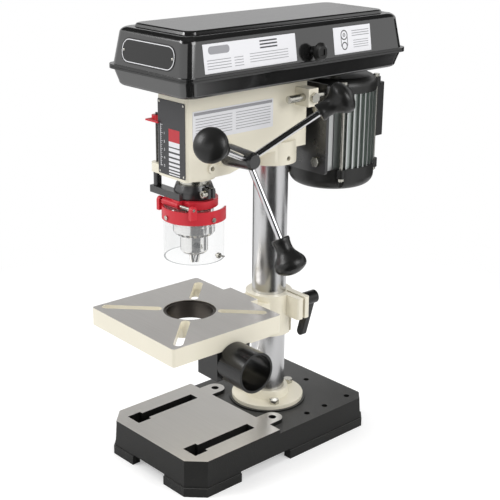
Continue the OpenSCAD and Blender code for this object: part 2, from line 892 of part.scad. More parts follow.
module hinge_bore() {
    for (y = hinge_ys) translate([-hinge_x, y - 3 * knuckle_l, hinge_z]) along_y()
        cylinder(r = hinge_pin_d / 2 + run_gap, h = 6 * knuckle_l);
}

module pulley_tray() color(BLACK) difference() {
    union() {
        tray_loft(0, tray_z);
        cover_sheet(lip_z - lip_t, 0, lip_corner, lip_t);
        knuckles(-knuckle_l / 2, knuckle_l / 2, lip_z - lip_t);
    }
    tray_loft(-cover_wall, tray_z + cover_wall);
    cover_sheet(lip_z - LOFT_T, lip_inset + cover_wall, loft_corner - cover_wall, CUT, LOFT_FN);
    at_spindle() translate([0, 0, tray_z - CUT]) cylinder(r = head_bore_r, h = cover_wall + 2 * CUT);
    translate([0, motor_y - motor_slide / 2, tray_z - CUT]) linear_extrude(cover_wall + 2 * CUT)
        round_rect(motor_shaft_d + 8, motor_shaft_d + 8 + motor_slide, motor_shaft_d / 2 + 2);
    tray_screw_places() translate([0, 0, -CUT])
        cylinder(d = tray_screw_d + 2 * seat_gap, h = cover_wall + 2 * CUT);
    hinge_bore();
}

// Mouths of the tray's screw holes, on the underside of the tray
module tray_screw_places() {
    for (p = tray_screw_at) translate([p.x, p.y, tray_z]) children();
}

module tray_screws() color(STEEL) tray_screw_places() translate([0, 0, cover_wall]) difference() {
    union() {
        cylinder(d1 = tray_screw_head_d, d2 = tray_screw_head_d - tray_screw_head_h, h = tray_screw_head_h);
        translate([0, 0, -cover_wall - tray_screw_l])
            cylinder(d = tray_screw_d, h = cover_wall + tray_screw_l + CUT);
    }
    translate([-tray_screw_head_d / 2, -driver_slot / 2, tray_screw_head_h - driver_slot])
        cube([tray_screw_head_d, driver_slot, 2 * driver_slot]);
}

module lid_loft(grow) {
    bend_z = shoulder_z - shoulder_drop * 0.3;
    bend = 2;
    hull() {
        cover_sheet(lid_z, lip_inset - grow, loft_corner + grow, LOFT_T, LOFT_FN);
        cover_sheet(shoulder_z - shoulder_drop, shoulder_inset - grow, loft_corner + grow, LOFT_T, LOFT_FN);
        cover_sheet(bend_z, shoulder_inset + bend - grow, loft_corner - bend + grow, LOFT_T, LOFT_FN);
        cover_sheet(shoulder_z - LOFT_T + grow, top_inset - grow, top_corner + grow, LOFT_T, LOFT_FN);
    }
}

module panel_loft(grow) {
    rim_corner = top_corner - panel_taper;
    hull() {
        cover_sheet(shoulder_z - cover_wall - 2, panel_inset - grow, top_corner + grow, LOFT_T, LOFT_FN);
        cover_sheet(panel_z - LOFT_T + grow, top_panel_inset - grow, rim_corner + grow, LOFT_T, LOFT_FN);
    }
}

module pulley_cover() color(BLACK) difference() {
    union() {
        lid_loft(0);
        panel_loft(0);
        cover_sheet(lid_z, 0, lip_corner, lip_t);
        knuckles(knuckle_l / 2 + free_gap, knuckle_l + free_gap, lid_z);
        knuckles(-knuckle_l - free_gap, -knuckle_l / 2 - free_gap, lid_z);
    }
    difference() {
        union() {
            lid_loft(-cover_wall);
            panel_loft(-cover_wall);
        }
        translate([-cover_w, cover_y - cover_l, lid_z - 2 * CUT]) cube([2 * cover_w, 2 * cover_l, CUT]);
    }
    cover_sheet(lid_z - CUT, lip_inset + cover_wall, loft_corner - cover_wall, CUT + LOFT_T, LOFT_FN);
    at_cover_knob() translate([0, 0, -2 * cover_wall])
        cylinder(d = knob_stud_d + 2 * seat_gap, h = 4 * cover_wall);
    hinge_bore();
}

module at_cover_knob() {
    rise = (cover_knob_z - lid_z) / (lid_h - shoulder_drop);
    side = cover_w / 2 - lip_inset - (shoulder_inset - lip_inset) * rise;
    translate([side, column_y, cover_knob_z]) along_x() children();
}

// Turned knob with a square recess in its face
module cover_knob() color(BLACK) at_cover_knob() {
    knob_r = cover_knob_d / 2;
    translate([0, 0, knob_lift]) difference() {
        rotate_extrude() polygon([
            [0, 0], [6, 0], [4.5, 4], [4.5, 8], [knob_r - 1.5, 9], [knob_r, 11],
            [knob_r, 13], [knob_r - 3, 15.5], [knob_recess, cover_knob_l], [0, cover_knob_l]
        ]);
        translate([-knob_recess / 2, -knob_recess / 2, cover_knob_l - knob_recess_t])
            cube([knob_recess, knob_recess, knob_recess_t + CUT]);
    }
    translate([0, 0, -cover_wall - 0.5]) cylinder(d = knob_stud_d, h = cover_wall + 2);
}

module cover_hinge_pins() color(STEEL) for (y = hinge_ys)
    translate([-hinge_x, y - knuckle_l - 2, hinge_z]) along_y()
        cylinder(d = hinge_pin_d, h = 2 * knuckle_l + 4);

// Belt drive
function step_points(radius, z) =
    let (mid = z + step_h / 2)
    [
        [radius, z], [radius, mid - groove_w / 2], [radius - groove_d, mid - groove_floor_w / 2],
        [radius - groove_d, mid + groove_floor_w / 2], [radius, mid + groove_w / 2], [radius, z + step_h]
    ];

// Stepped pulley; grows is 1 when the largest step is on top and -1 when it is at the bottom
module step_pulley(grows, bore_r) {
    rotate_extrude() polygon(concat(
        [[bore_r, pulley_z]],
        [
            for (i = [0 : step_count - 1], p = step_points(
                step_r + grows * step_dr * (i - (step_count - 1) / 2), pulley_z + i * step_h
            )) p
        ],
        [[bore_r, pulley_z + step_count * step_h]]
    ));
}

module belt_section() polygon([
    [step_r - groove_d + belt_gap, -groove_floor_w / 2 + belt_gap],
    [step_r - belt_gap, -groove_w / 2 + belt_gap],
    [step_r - belt_gap, groove_w / 2 - belt_gap],
    [step_r - groove_d + belt_gap, groove_floor_w / 2 - belt_gap]
]);

module v_belt() color(BLACK) translate([0, 0, belt_z]) {
    at_motor() rotate_extrude(angle = 180) belt_section();
    at_spindle() rotate(180) rotate_extrude(angle = 180) belt_section();
    for (x = [0, 1]) mirror([x, 0, 0]) translate([0, motor_y, 0]) rotate([90, 0, 0])
        linear_extrude(motor_y - spindle_y) belt_section();
}

module spline_plan(gap) {
    circle(spindle_r - spline_depth + gap);
    intersection() {
        circle(spindle_r + gap);
        for (i = [0 : spline_teeth / 2 - 1]) rotate(i * 360 / spline_teeth)
            square([4 * spindle_r, spline_w + 2 * gap], center = true);
    }
}

module spindle_pulley() color(STEEL) at_spindle() difference() {
    union() {
        step_pulley(-1, 0);
        translate([0, 0, bearing_z]) cylinder(r = sleeve_r, h = pulley_z - bearing_z + CUT);
    }
    translate([0, 0, bearing_z - CUT]) linear_extrude(shaft_top) spline_plan(free_gap);
}

module motor_pulley() color(STEEL) at_motor() step_pulley(1, motor_shaft_d / 2 + seat_gap);

// Motor
module motor_bolt_places() {
    at_motor() for (a = [0 : 90 : 270]) rotate(motor_bolt_turn - 90 + a)
        translate([motor_bolt_r, 0, 0]) children();
}

// True for a fin that stands clear of the four through bolts
function clears_bolts(angle) =
    let (past = (angle - motor_bolt_turn + 450) % 90)
    min(past, 90 - past) * motor_r * PI / 180 > motor_bolt_d / 2 + 1 + fin_w / 2;

module motor_body() color(STEEL) difference() {
    translate([0, 0, body_z]) linear_extrude(motor_body_l) at_motor() difference() {
        union() {
            circle(motor_r - fin_h);
            for (i = [0 : fin_count - 1]) if (clears_bolts(i * 360 / fin_count))
                rotate(i * 360 / fin_count)
                translate([0, -fin_w / 2]) square([motor_r, fin_w]);
            translate([-foot_w / 2, -motor_r - 2]) square([foot_w, fin_h + 12]);
        }
        circle(motor_bore_r);
    }
    motor_bolt_places() translate([0, 0, body_z - CUT])
        cylinder(d = motor_bolt_d + 2, h = motor_body_l + 2 * CUT);
    for (x = [-1, 1] * mount_bolt_x, z = mount_bolt_zs) translate([x, mount_y - CUT, z]) along_y()
        cylinder(d = mount_bolt_d + 2 * seat_gap, h = mount_bolt_reach + 2 * CUT);
}

// End bell turned about the motor's axis, from its rim at z = 0 to its closed end at z = h
module bell(h) {
    round_r = min(h * 0.6, 14);
    rotate_extrude() difference() {
        union() {
            square([motor_r - round_r, h]);
            square([motor_r, h - round_r]);
            translate([motor_r - round_r, h - round_r]) circle(round_r);
        }
        translate([0, -CUT]) square([motor_r - bell_wall, h - bell_wall + CUT]);
        translate([-2 * motor_r, -h]) square([2 * motor_r, 3 * h]);
        translate([-motor_r, -2 * h]) square([3 * motor_r, 2 * h]);
    }
    translate([0, 0, h - bell_wall - motor_bearing_h])
        tube(motor_bearing_d / 2 + 4, motor_bearing_d / 2 + seat_gap, motor_bearing_h + CUT);
}

module motor_top_bell() color(BLACK) difference() {
    union() {
        at_motor() translate([0, 0, body_top]) bell(upper_bell_h);
        motor_bolt_places() translate([0, 0, body_top]) cylinder(r = motor_ear_r, h = upper_ear_h);
    }
    at_motor() translate([0, 0, body_top])
        cylinder(d = motor_shaft_d + 2 * free_gap, h = upper_bell_h + CUT);
    motor_bolt_places() {
        translate([0, 0, body_top - CUT]) cylinder(d = motor_bolt_d + 2 * seat_gap, h = upper_bell_h);
        translate([0, 0, body_top + upper_ear_h]) cylinder(r = motor_bolt_seat, h = upper_bell_h);
    }
}

module motor_bottom_bell() color(BLACK) difference() {
    union() {
        at_motor() translate([0, 0, body_z]) mirror([0, 0, 1]) bell(lower_bell_h);
        motor_bolt_places() translate([0, 0, body_z - lower_ear_h])
            cylinder(r = motor_ear_r, h = lower_ear_h);
    }
    motor_bolt_places() {
        translate([0, 0, body_z - lower_bell_h])
            cylinder(d = motor_bolt_d + 2 * seat_gap, h = lower_bell_h + CUT);
        translate([0, 0, motor_bottom - CUT])
            cylinder(r = motor_bolt_seat, h = lower_bell_h - lower_ear_h + CUT);
    }
    at_motor() for (a = [0 : 30 : 330]) rotate(a)
        translate([motor_bearing_d / 2 + vent_l / 2, -vent_w / 2, motor_bottom - CUT])
            cube([vent_l, vent_w, bell_wall + 2 * CUT]);
}

module motor_bolts() color(STEEL) motor_bolt_places() {
    grip = upper_ear_h + motor_body_l + lower_ear_h + motor_nut_h + 1;
    translate([0, 0, body_top + upper_ear_h]) hex_bolt(motor_bolt_d, grip, motor_nut_h);
    translate([0, 0, body_z - lower_ear_h - motor_nut_h])
        cylinder(d = 1.75 * motor_bolt_d, h = motor_nut_h, $fn = 6);
}

module capacitor_box() color(BLACK) at_motor()
    translate([0, motor_r + box_l / 2 - fin_h - 1, box_z]) difference() {
    linear_extrude(box_h) round_rect(box_w, box_l + fin_h, 4);
    translate([0, 0, -CUT]) linear_extrude(box_h + 2 * CUT)
        translate([0, -motor_r - box_l / 2 + fin_h + 1])
        circle(motor_r + seat_gap);
}

module mount_plate_holes() {
    for (x = [-1, 1] * mount_bolt_x, z = mount_bolt_zs) translate([x, 0, z]) along_y()
        cylinder(d = mount_bolt_d + 2 * seat_gap, h = 4 * mount_t, center = true);
    for (x = [-1, 1] * bar_spacing / 2) translate([x, 0, bar_z]) along_y()
        cylinder(r = bar_d / 2 + seat_gap, h = 4 * mount_t, center = true);
}

module motor_mount_plate() color(BLACK) translate([0, mount_y - mount_t / 2, 0]) difference() {
    translate([0, mount_t / 2, (mount_bottom + mount_top) / 2]) rotate([90, 0, 0]) linear_extrude(mount_t)
        round_rect(mount_w, mount_top - mount_bottom, 4);
    mount_plate_holes();
}

module mount_bolts() color(STEEL)
    for (x = [-1, 1] * mount_bolt_x, z = mount_bolt_zs) translate([x, mount_y - mount_t, z])
        rotate([90, 0, 0])
        hex_bolt(mount_bolt_d, mount_t + mount_bolt_reach, 5);

module motor_slide_bars() color(STEEL) for (x = [-1, 1] * bar_spacing / 2)
    translate([x, bar_front, bar_z]) along_y() cylinder(d = bar_d, h = mount_y - bar_front);

module motor_bearings() color(STEEL) at_motor()
    for (z = [motor_bottom + bell_wall, motor_top - bell_wall - motor_bearing_h]) translate([0, 0, z])
        tube(motor_bearing_d / 2, motor_shaft_d / 2 + run_gap, motor_bearing_h);

module motor_stator() color(STEEL) at_motor() translate([0, 0, (body_z + body_top - rotor_h) / 2])
    difference() {
        tube(motor_bore_r - seat_gap, stator_r, rotor_h);
        for (i = [0 : stator_slots - 1]) rotate(i * 360 / stator_slots)
            translate([stator_r + 2, -stator_slot_w / 2, -CUT])
                cube([stator_slot_l, stator_slot_w, rotor_h + 2 * CUT]);
    }

module motor_rotor() color(STEEL) at_motor() translate([0, 0, (body_z + body_top - rotor_h) / 2])
    tube(stator_r - rotor_gap, motor_shaft_d / 2 + seat_gap, rotor_h);

module motor_shaft() color(STEEL) at_motor() translate([0, 0, motor_bottom + bell_wall + free_gap])
    cylinder(d = motor_shaft_d, h = shaft_top - motor_bottom - bell_wall - free_gap);

module motor_fan() color(BLACK) at_motor() translate([0, 0, body_z - fan_h]) {
    bore_r = motor_shaft_d / 2 + seat_gap;
    blade_start = motor_bearing_d / 2 + 6;
    tube(motor_shaft_d / 2 + fan_hub_wall, bore_r, fan_h);
    translate([0, 0, fan_disc_z]) tube(fan_r, bore_r, fan_sheet);
    for (i = [0 : fan_blades - 1]) rotate(i * 360 / fan_blades)
        translate([blade_start, -fan_sheet / 2, 0])
        cube([fan_r - blade_start - fan_sheet, fan_sheet, fan_disc_z + fan_sheet / 2]);
}

// Quill
module rack_gap() {
    half = rack_pitch / 4 + backlash;
    tip = half + addendum * tan(flank);
    root = half - dedendum * tan(flank);
    polygon([
        [rack_line - dedendum, -root], [rack_line + addendum + CUT, -tip - CUT * tan(flank)],
        [rack_line + addendum + CUT, tip + CUT * tan(flank)], [rack_line - dedendum, root]
    ]);
}

module quill() color(STEEL) at_spindle() difference() {
    translate([0, 0, quill_bottom]) cylinder(r = quill_r, h = quill_len);
    translate([0, 0, quill_bottom - CUT]) cylinder(d = quill_bore_d, h = quill_len + 2 * CUT);
    translate([0, 0, quill_bottom - CUT])
        cylinder(d = lower_bearing_d + 2 * seat_gap, h = lower_bearing_h + CUT);
    translate([0, 0, quill_bottom + quill_len - upper_bearing_h])
        cylinder(d = upper_bearing_d + 2 * seat_gap, h = upper_bearing_h + CUT);
    for (i = [-1 : rack_teeth - 1])
        translate([0, 0, feed_z + i * rack_pitch]) across(2 * quill_d) rack_gap();
    translate([0, rack_line + addendum, feed_z - 1.5 * rack_pitch]) translate([-quill_r, 0, 0])
        cube([quill_d, quill_r, rack_pitch * (rack_teeth + 1)]);
}

module spindle_bearings() color(STEEL) at_spindle() {
    translate([0, 0, quill_bottom]) tube(lower_bearing_d / 2, spindle_r + run_gap, lower_bearing_h);
    translate([0, 0, quill_bottom + quill_len - upper_bearing_h])
        tube(upper_bearing_d / 2, spindle_r + run_gap, upper_bearing_h);
}

module at_collar_bolt() {
    at_spindle()
        translate([collar_d / 2 + 4, collar_slit / 2 + collar_ear_w / 2, collar_neck_top + collar_h / 2])
        rotate([90, 0, 0]) children();
}

module quill_collar() color(BLACK) difference() {
    union() {
        at_spindle() translate([0, 0, quill_bottom]) cylinder(d = neck_d, h = neck_h);
        at_spindle() translate([0, 0, collar_neck_top]) {
            cylinder(d1 = collar_d - 1, d2 = collar_d, h = collar_h / 2);
            translate([0, 0, collar_h / 2]) cylinder(d1 = collar_d, d2 = collar_d - 6, h = collar_h / 2);
        }
        at_spindle() translate([quill_r + 2, -collar_ear_w / 2 - collar_slit / 2, collar_neck_top + 2])
            cube([collar_d / 2 - quill_r + 7, collar_ear_w + collar_slit, collar_h - 4]);
        at_spindle() translate([-collar_bar_left, -rod_front - collar_bar_w / 2, collar_bar_z])
            cube([collar_bar_left + 7, collar_bar_w, collar_bar_h]);
    }
    at_spindle() translate([0, 0, quill_bottom - CUT])
        cylinder(r = quill_r + seat_gap, h = neck_h + collar_h + 2 * CUT);
    at_spindle() translate([quill_r, -collar_slit / 2, collar_neck_top])
        cube([collar_d, collar_slit, collar_h + CUT]);
    at_collar_bolt() translate([0, 0, -CUT])
        cylinder(d = collar_bolt_d + 2 * seat_gap, h = 3 * collar_ear_w);
    translate([-rod_x, rod_y, collar_bar_z - CUT])
        cylinder(d = post_d - 4 + 2 * seat_gap, h = collar_bar_h + 2 * CUT);
}

module collar_bolt() color(STEEL) at_collar_bolt() translate([0, 0, collar_ear_w + collar_slit])
    difference() {
        union() {
            cylinder(d = 9, h = 6);
            translate([0, 0, -collar_ear_w - collar_slit - 3])
                cylinder(d = collar_bolt_d, h = collar_ear_w + collar_slit + 4);
        }
        translate([0, 0, 3]) cylinder(d = 5, h = 3 + CUT, $fn = 6);
    }

module depth_rod() color(BLACK) translate([-rod_x, rod_y, 0]) {
    translate([0, 0, collar_bar_z]) cylinder(d = post_d - 4, h = collar_bar_h + 1);
    translate([0, 0, collar_bar_z + collar_bar_h])
        cylinder(d = post_d, h = post_top - collar_bar_z - collar_bar_h);
    translate([0, 0, post_top - 1]) cylinder(d = rod_d, h = rod_top - post_top + 1);
}

// Red stop on the rod; its finger reaches round to the scale on the head's front
module depth_pointer() color(RED) translate([-rod_x, rod_y, pointer_bottom]) difference() {
    reach = rod_x - head_w / 2 + 6;
    front = head_front - rod_front + free_gap + 1.4;
    union() {
        cylinder(r = pointer_r, h = pointer_h);
        translate([-2, -front - 2, pointer_h / 2 - 1]) cube([4, front, 2]);
        translate([-2, -front - 2, pointer_h / 2 - 1]) cube([reach + 2, 2, 2]);
    }
    translate([0, 0, -CUT]) cylinder(r = rod_d / 2 + run_gap, h = pointer_h + 2 * CUT);
}

// Spindle and chuck
module spindle() color(STEEL) at_spindle() {
    translate([0, 0, taper_bottom]) cylinder(r = taper_r, h = quill_bottom - taper_bottom);
    translate([0, 0, quill_bottom - CUT]) cylinder(r = spindle_r, h = quill_len + CUT);
    translate([0, 0, quill_bottom + quill_len - CUT])
        linear_extrude(spindle_top - quill_bottom - quill_len + CUT) spline_plan(0);
}

// Frame of jaw i: its tip on z = 0, its axis along z
module at_jaw(i) {
    at_spindle() rotate(i * 120 + 30) translate([jaw_tip_offset, 0, jaw_tip])
        rotate([0, jaw_slope, 0]) children();
}

module chuck_body() color(STEEL) difference() {
    at_spindle() {
        translate([0, 0, nose_bottom]) rotate_extrude() difference() {
            union() {
                square([nose_d / 2, nose_h + sleeve_h + 0.5]);
                translate([0, nose_h + sleeve_h + free_gap])
                    square([chuck_cap_d / 2, chuck_cap_h - free_gap]);
            }
            translate([nose_d / 2 - 5, -5]) difference() {
                square(10);
                translate([0, 10]) circle(5);
            }
        }
    }
    at_spindle() translate([0, 0, taper_bottom - CUT]) cylinder(r = taper_r + seat_gap, h = chuck_top);
    for (i = [0 : 2]) {
        at_jaw(i) translate([0, 0, -2 * jaw_out])
            cylinder(d = jaw_d + 2 * free_gap, h = 2 * jaw_out + jaw_l + jaw_travel + 1);
        at_spindle() rotate(i * 120 + 90)
            translate([nose_d / 2 - 7, 0, nose_bottom + nose_h * 0.55]) along_x()
            cylinder(d = key_hole_d, h = 10);
    }
}

module chuck_sleeve() color(STEEL) at_spindle() difference() {
    union() {
        translate([0, 0, sleeve_bottom + 4]) tube(sleeve_d / 2, nose_d / 2 + free_gap, sleeve_h - 4);
        translate([0, 0, sleeve_bottom]) difference() {
            cylinder(d1 = sleeve_d - 6, d2 = sleeve_d, h = 4);
            translate([0, 0, -CUT]) cylinder(r = nose_d / 2 + free_gap, h = 4 + 2 * CUT);
        }
    }
    for (i = [0 : sleeve_teeth - 1]) rotate(i * 360 / sleeve_teeth)
        translate([sleeve_d / 2 - 5, 0, sleeve_bottom - CUT]) rotate(45)
            cube([2.2, 2.2, 4], center = true);
    translate([0, 0, sleeve_bottom + sleeve_h * 0.55]) difference() {
        cylinder(d = sleeve_d + 2, h = 1.5);
        translate([0, 0, -CUT]) cylinder(d = sleeve_d - 1.2, h = 1.5 + 2 * CUT);
    }
}

// Jaw with a two-sided edge that meets the others at the spindle axis
module chuck_jaw(i) color(STEEL) intersection() {
    at_jaw(i) cylinder(d = jaw_d, h = jaw_l);
    at_spindle() rotate(i * 120 + 30) translate([free_gap, 0, 0]) linear_extrude(head_top)
        polygon(jaw_wedge * [[0, 0], [cos(60), -sin(60)], [1, 0], [cos(60), sin(60)]]);
    translate([-jaw_wedge, spindle_y - jaw_wedge, jaw_tip])
        cube([2 * jaw_wedge, 2 * jaw_wedge, 2 * jaw_l]);
}

module chuck_jaw_a() { chuck_jaw(0); }
module chuck_jaw_b() { chuck_jaw(1); }
module chuck_jaw_c() { chuck_jaw(2); }

// Guard
module at_guard_pin() { translate([0, guard_pin_y, guard_pin_z]) along_x() children(); }

module guard_clamp() color(RED) difference() {
    union() {
        at_spindle() translate([0, 0, quill_bottom]) cylinder(r = guard_ring_r, h = guard_ring_h);
        at_guard_pin() translate([0, 0, -barrel_left])
            cylinder(r = barrel_r, h = barrel_left + barrel_right);
        translate([-barrel_left, guard_pin_y, quill_bottom + 2])
            cube([barrel_left + barrel_right, guard_pin_front / 2, guard_ring_h - 2]);
    }
    at_spindle() translate([0, 0, quill_bottom - CUT])
        cylinder(r = neck_d / 2 + seat_gap, h = guard_ring_h + 2 * CUT);
    translate([barrel_right + free_gap, guard_pin_y - 2 * barrel_r, quill_bottom - CUT])
        cube([guard_ring_r, 3 * barrel_r, guard_ring_h + 2 * CUT]);
    translate([-guard_ring_r - barrel_left - free_gap, guard_pin_y - 2 * barrel_r, quill_bottom - CUT])
        cube([guard_ring_r, 3 * barrel_r, guard_ring_h + 2 * CUT]);
    at_guard_pin() translate([0, 0, -guard_pin_l])
        cylinder(r = guard_pin_d / 2 + seat_gap, h = 2 * guard_pin_l);
}

module guard_pin() color(STEEL) at_guard_pin() translate([0, 0, -guard_pin_l / 2])
    cylinder(d = guard_pin_d, h = guard_pin_l);

// Lugs that hang the bracket on its pin; they end inside the band's wall
module guard_lugs() difference() {
    both_sides() translate([guard_pin_l / 2 - guard_lug_w, guard_pin_y, 0]) {
        translate([0, 0, guard_pin_z]) along_x() cylinder(r = barrel_r, h = guard_lug_w);
        translate([0, -barrel_r, bracket_top - bracket_h / 2])
            cube([guard_lug_w, 2 * barrel_r, guard_pin_z - bracket_top + bracket_h / 2]);
    }
    at_spindle() translate([0, 0, bracket_top - shield_h])
        cylinder(r = bracket_r - bracket_wall / 2, h = shield_h - shield_sink);
}

// Screws through the band and the shield, each turned from the front, with its head outside
module guard_screw_places() {
    at_spindle() for (a = guard_screw_turns) rotate(a - 90)
        translate([0, 0, guard_screw_z]) along_x() children();
}

module guard_latch_place() {
    at_spindle() rotate(guard_latch_turn - 90) translate([0, 0, guard_latch_z]) along_x()
        rotate(-20) children();
}

module guard_screw_holes() {
    hole_d = guard_screw_d + 2 * seat_gap;
    guard_screw_places() translate([0, 0, shield_r / 2]) cylinder(d = hole_d, h = shield_r);
    guard_latch_place() translate([0, 0, shield_r / 2]) cylinder(d = hole_d, h = shield_r);
}

module guard_screws() color(STEEL) {
    end_r = shield_r - shield_wall - CUT;
    guard_screw_places() {
        translate([0, 0, end_r])
            cylinder(d = guard_screw_d, h = bracket_r - end_r + guard_screw_head_h / 2);
        translate([0, 0, bracket_r]) cylinder(d = 2 * guard_screw_d, h = guard_screw_head_h);
    }
    guard_latch_place() {
        translate([0, 0, end_r]) cylinder(d = guard_screw_d, h = shield_r - end_r + CUT);
        translate([0, 0, shield_r]) cylinder(d = guard_latch_d, h = guard_latch_d / 2);
        translate([-guard_screw_head_h / 2, 0, shield_r + CUT])
            cube([guard_screw_head_h, guard_latch_l, guard_latch_d / 2]);
    }
}

module guard_bracket() color(RED) difference() {
    union() {
        at_spindle()
            translate([0, 0, bracket_top - bracket_h]) guard_band(bracket_r, shield_r + seat_gap, bracket_h);
        guard_lugs();
    }
    at_guard_pin() translate([0, 0, -guard_pin_l])
        cylinder(r = guard_pin_d / 2 + run_gap, h = 2 * guard_pin_l);
    guard_screw_holes();
}

module guard_shield() color([0.85, 0.9, 0.95, 0.4]) difference() {
    at_spindle() translate([0, 0, bracket_top - shield_sink - shield_h])
        guard_band(shield_r, shield_r - shield_wall, shield_h);
    guard_screw_holes();
}

// Feed
module at_feed() { translate([0, feed_y, feed_z]) children(); }

module at_lever(i) {
    translate([lever_x, feed_y, feed_z]) rotate([lever_turn - 90 + 120 * i, 0, 0])
        rotate([0, lever_tilt, 0]) children();
}

// Pinion in the plane across its axis, with one tooth pointing along -X of the drawing
module pinion_plan() {
    half = rack_pitch / 4 - backlash / 2;
    circle(pinion_r - dedendum);
    for (i = [0 : pinion_teeth - 1]) rotate(180 + i * 360 / pinion_teeth) polygon([
        [pinion_r - dedendum - 1, -half * 1.5], [pinion_r, -half], [pinion_r + addendum, -half * 0.45],
        [pinion_r + addendum, half * 0.45], [pinion_r, half], [pinion_r - dedendum - 1, half * 1.5]
    ]);
}

module feed_shaft() color(STEEL) at_feed() {
    across(pinion_w) pinion_plan();
    translate([pinion_w / 2, 0, 0]) along_x() cylinder(r = pinion_r - dedendum, h = 3);
    translate([pinion_w / 2 + 2, 0, 0]) along_x() cylinder(d = shaft_d, h = shaft_end - pinion_w / 2 - 2);
    translate([-head_w / 2 - cap_boss_l - cap_l + 1, 0, 0]) along_x()
        cylinder(d = shaft_stub_d, h = head_w / 2 + cap_boss_l + cap_l - 1 - pinion_w / 2);
}

module feed_hub() color(BLACK) difference() {
    at_feed() translate([hub_x, 0, 0]) along_x() rotate_extrude() polygon([
        [0, 0], [hub_d / 2, 0], [hub_d / 2, hub_chamfer], [hub_end_d / 2, hub_l - hub_chamfer],
        [hub_face_d / 2, hub_l], [0, hub_l]
    ]);
    at_feed() along_x() cylinder(r = shaft_d / 2 + seat_gap, h = shaft_end + seat_gap);
    for (i = [0 : 2]) at_lever(i) translate([0, 0, lever_start - seat_gap])
        cylinder(r = lever_d / 2 + seat_gap, h = hub_d);
}

module feed_levers() color(STEEL) for (i = [0 : 2]) at_lever(i) translate([0, 0, lever_start])
    cylinder(d = lever_d, h = lever_l + knob_socket - lever_start);

module feed_knobs() color(BLACK) for (i = [0 : 2]) at_lever(i) translate([0, 0, lever_l]) difference() {
    rotate_extrude() polygon([for (p = knob_outline) [p.x * knob_d / 2, p.y * knob_l]]);
    translate([0, 0, -CUT]) cylinder(r = lever_d / 2 + seat_gap, h = knob_socket + CUT + seat_gap);
}

// Table
module table_slots() {
    for (a = [45 : 90 : 315]) {
        outer = a < 180 ? slot_outer_back : slot_outer_front;
        translate([0, hole_y]) rotate(a) {
            translate([slot_inner, -table_slot_w / 2]) square([outer - slot_inner, table_slot_w]);
            for (r = [slot_inner, outer]) translate([r, 0]) circle(d = table_slot_w);
        }
    }
}

module at_clamp_bolt() { on_table() translate([ear_x, ear_y, ear_z]) along_y() children(); }

module clamp_ears() {
    width = ear_x + clamp_ear_r;
    translate([width / 2, (ear_y + ear_back) / 2, table_collar_top - clamp_ear_h])
        linear_extrude(clamp_ear_h)
        round_rect(width, ear_back - ear_y, clamp_ear_edge);
}

module table() color(CREAM) on_table() difference() {
    union() {
        translate([0, -table_reach, table_bottom]) linear_extrude(table_t)
            round_rect(table_w, table_l, 4);
        translate([-tongue_w / 2, table_back_y - CUT, table_top - table_plate])
            cube([tongue_w, tongue_l + CUT, table_plate]);
        translate([-arm_w / 2, table_back_y - table_wall, table_collar_bottom])
            cube([arm_w, -table_back_y + table_wall, table_collar_top - 8 - table_collar_bottom]);
        translate([0, 0, table_collar_bottom]) cylinder(r = table_collar_r, h = table_collar_h);
        clamp_ears();
    }
    translate([0, -table_reach, table_bottom - CUT])
        linear_extrude(table_t - table_plate + CUT) difference() {
        round_rect(table_w - 2 * table_wall, table_l - 2 * table_wall, 4);
        translate([0, hole_y + table_reach]) circle(table_hole_d / 2 + insert_wall + insert_boss_wall);
    }
    translate([0, hole_y, table_bottom - CUT])
        cylinder(r = table_hole_d / 2 + insert_wall + seat_gap, h = table_t + 2 * CUT);
    translate([0, hole_y, table_top - insert_rim_h])
        cylinder(r = insert_rim_r + seat_gap, h = insert_rim_h + CUT);
    translate([0, 0, table_bottom]) linear_extrude(table_t + CUT) table_slots();
    translate([0, 0, table_collar_bottom - CUT])
        cylinder(r = column_r + run_gap, h = table_collar_h + 30);
    translate([column_r - 4, ear_y + ear_t, table_collar_bottom - CUT])
        cube([ear_x + clamp_ear_r, ear_slit, table_collar_h + 2 * CUT]);
    translate([ear_x, ear_y + stud_cover, ear_z]) along_y()
        cylinder(d = clamp_bolt_d + 2 * run_gap, h = ear_back - ear_y);
}

module table_insert() color(BLACK) on_table() translate([0, hole_y, 0]) difference() {
    union() {
        translate([0, 0, table_bottom]) cylinder(r = table_hole_d / 2 + insert_wall, h = table_t - 1);
        translate([0, 0, table_top - insert_rim_h]) cylinder(r = insert_rim_r, h = insert_rim_h - 0.2);
    }
    translate([0, 0, table_bottom - CUT]) cylinder(d = table_hole_d, h = table_t + 2 * CUT);
    translate([0, 0, table_top - 1.4]) cylinder(r = insert_rim_r - 1.5, h = 3);
}

// Stud that is screwed into the front ear
module table_clamp_bolt() color(STEEL) at_clamp_bolt() translate([0, 0, stud_cover + run_gap])
    cylinder(d = clamp_bolt_d, h = handle_y - ear_y - stud_cover - run_gap + handle_hub_l - hub_cap);

// Lever with a round hub on the clamp bolt; it hangs beside the collar
module lock_handle() color(BLACK) at_clamp_bolt()
    translate([0, 0, handle_y - ear_y]) rotate(90 + handle_lean) difference() {
        lever_z = handle_hub_l - handle_t - hub_cap + CUT;
        union() {
            cylinder(r = handle_hub_r, h = handle_hub_l);
            translate([0, -handle_w / 2, lever_z]) cube([handle_l - handle_w / 2, handle_w, handle_t]);
            translate([handle_l - handle_w / 2, 0, lever_z]) cylinder(d = handle_w, h = handle_t);
        }
        translate([0, 0, -CUT])
            cylinder(r = clamp_bolt_d / 2 + run_gap, h = handle_hub_l - hub_cap + CUT);
    }

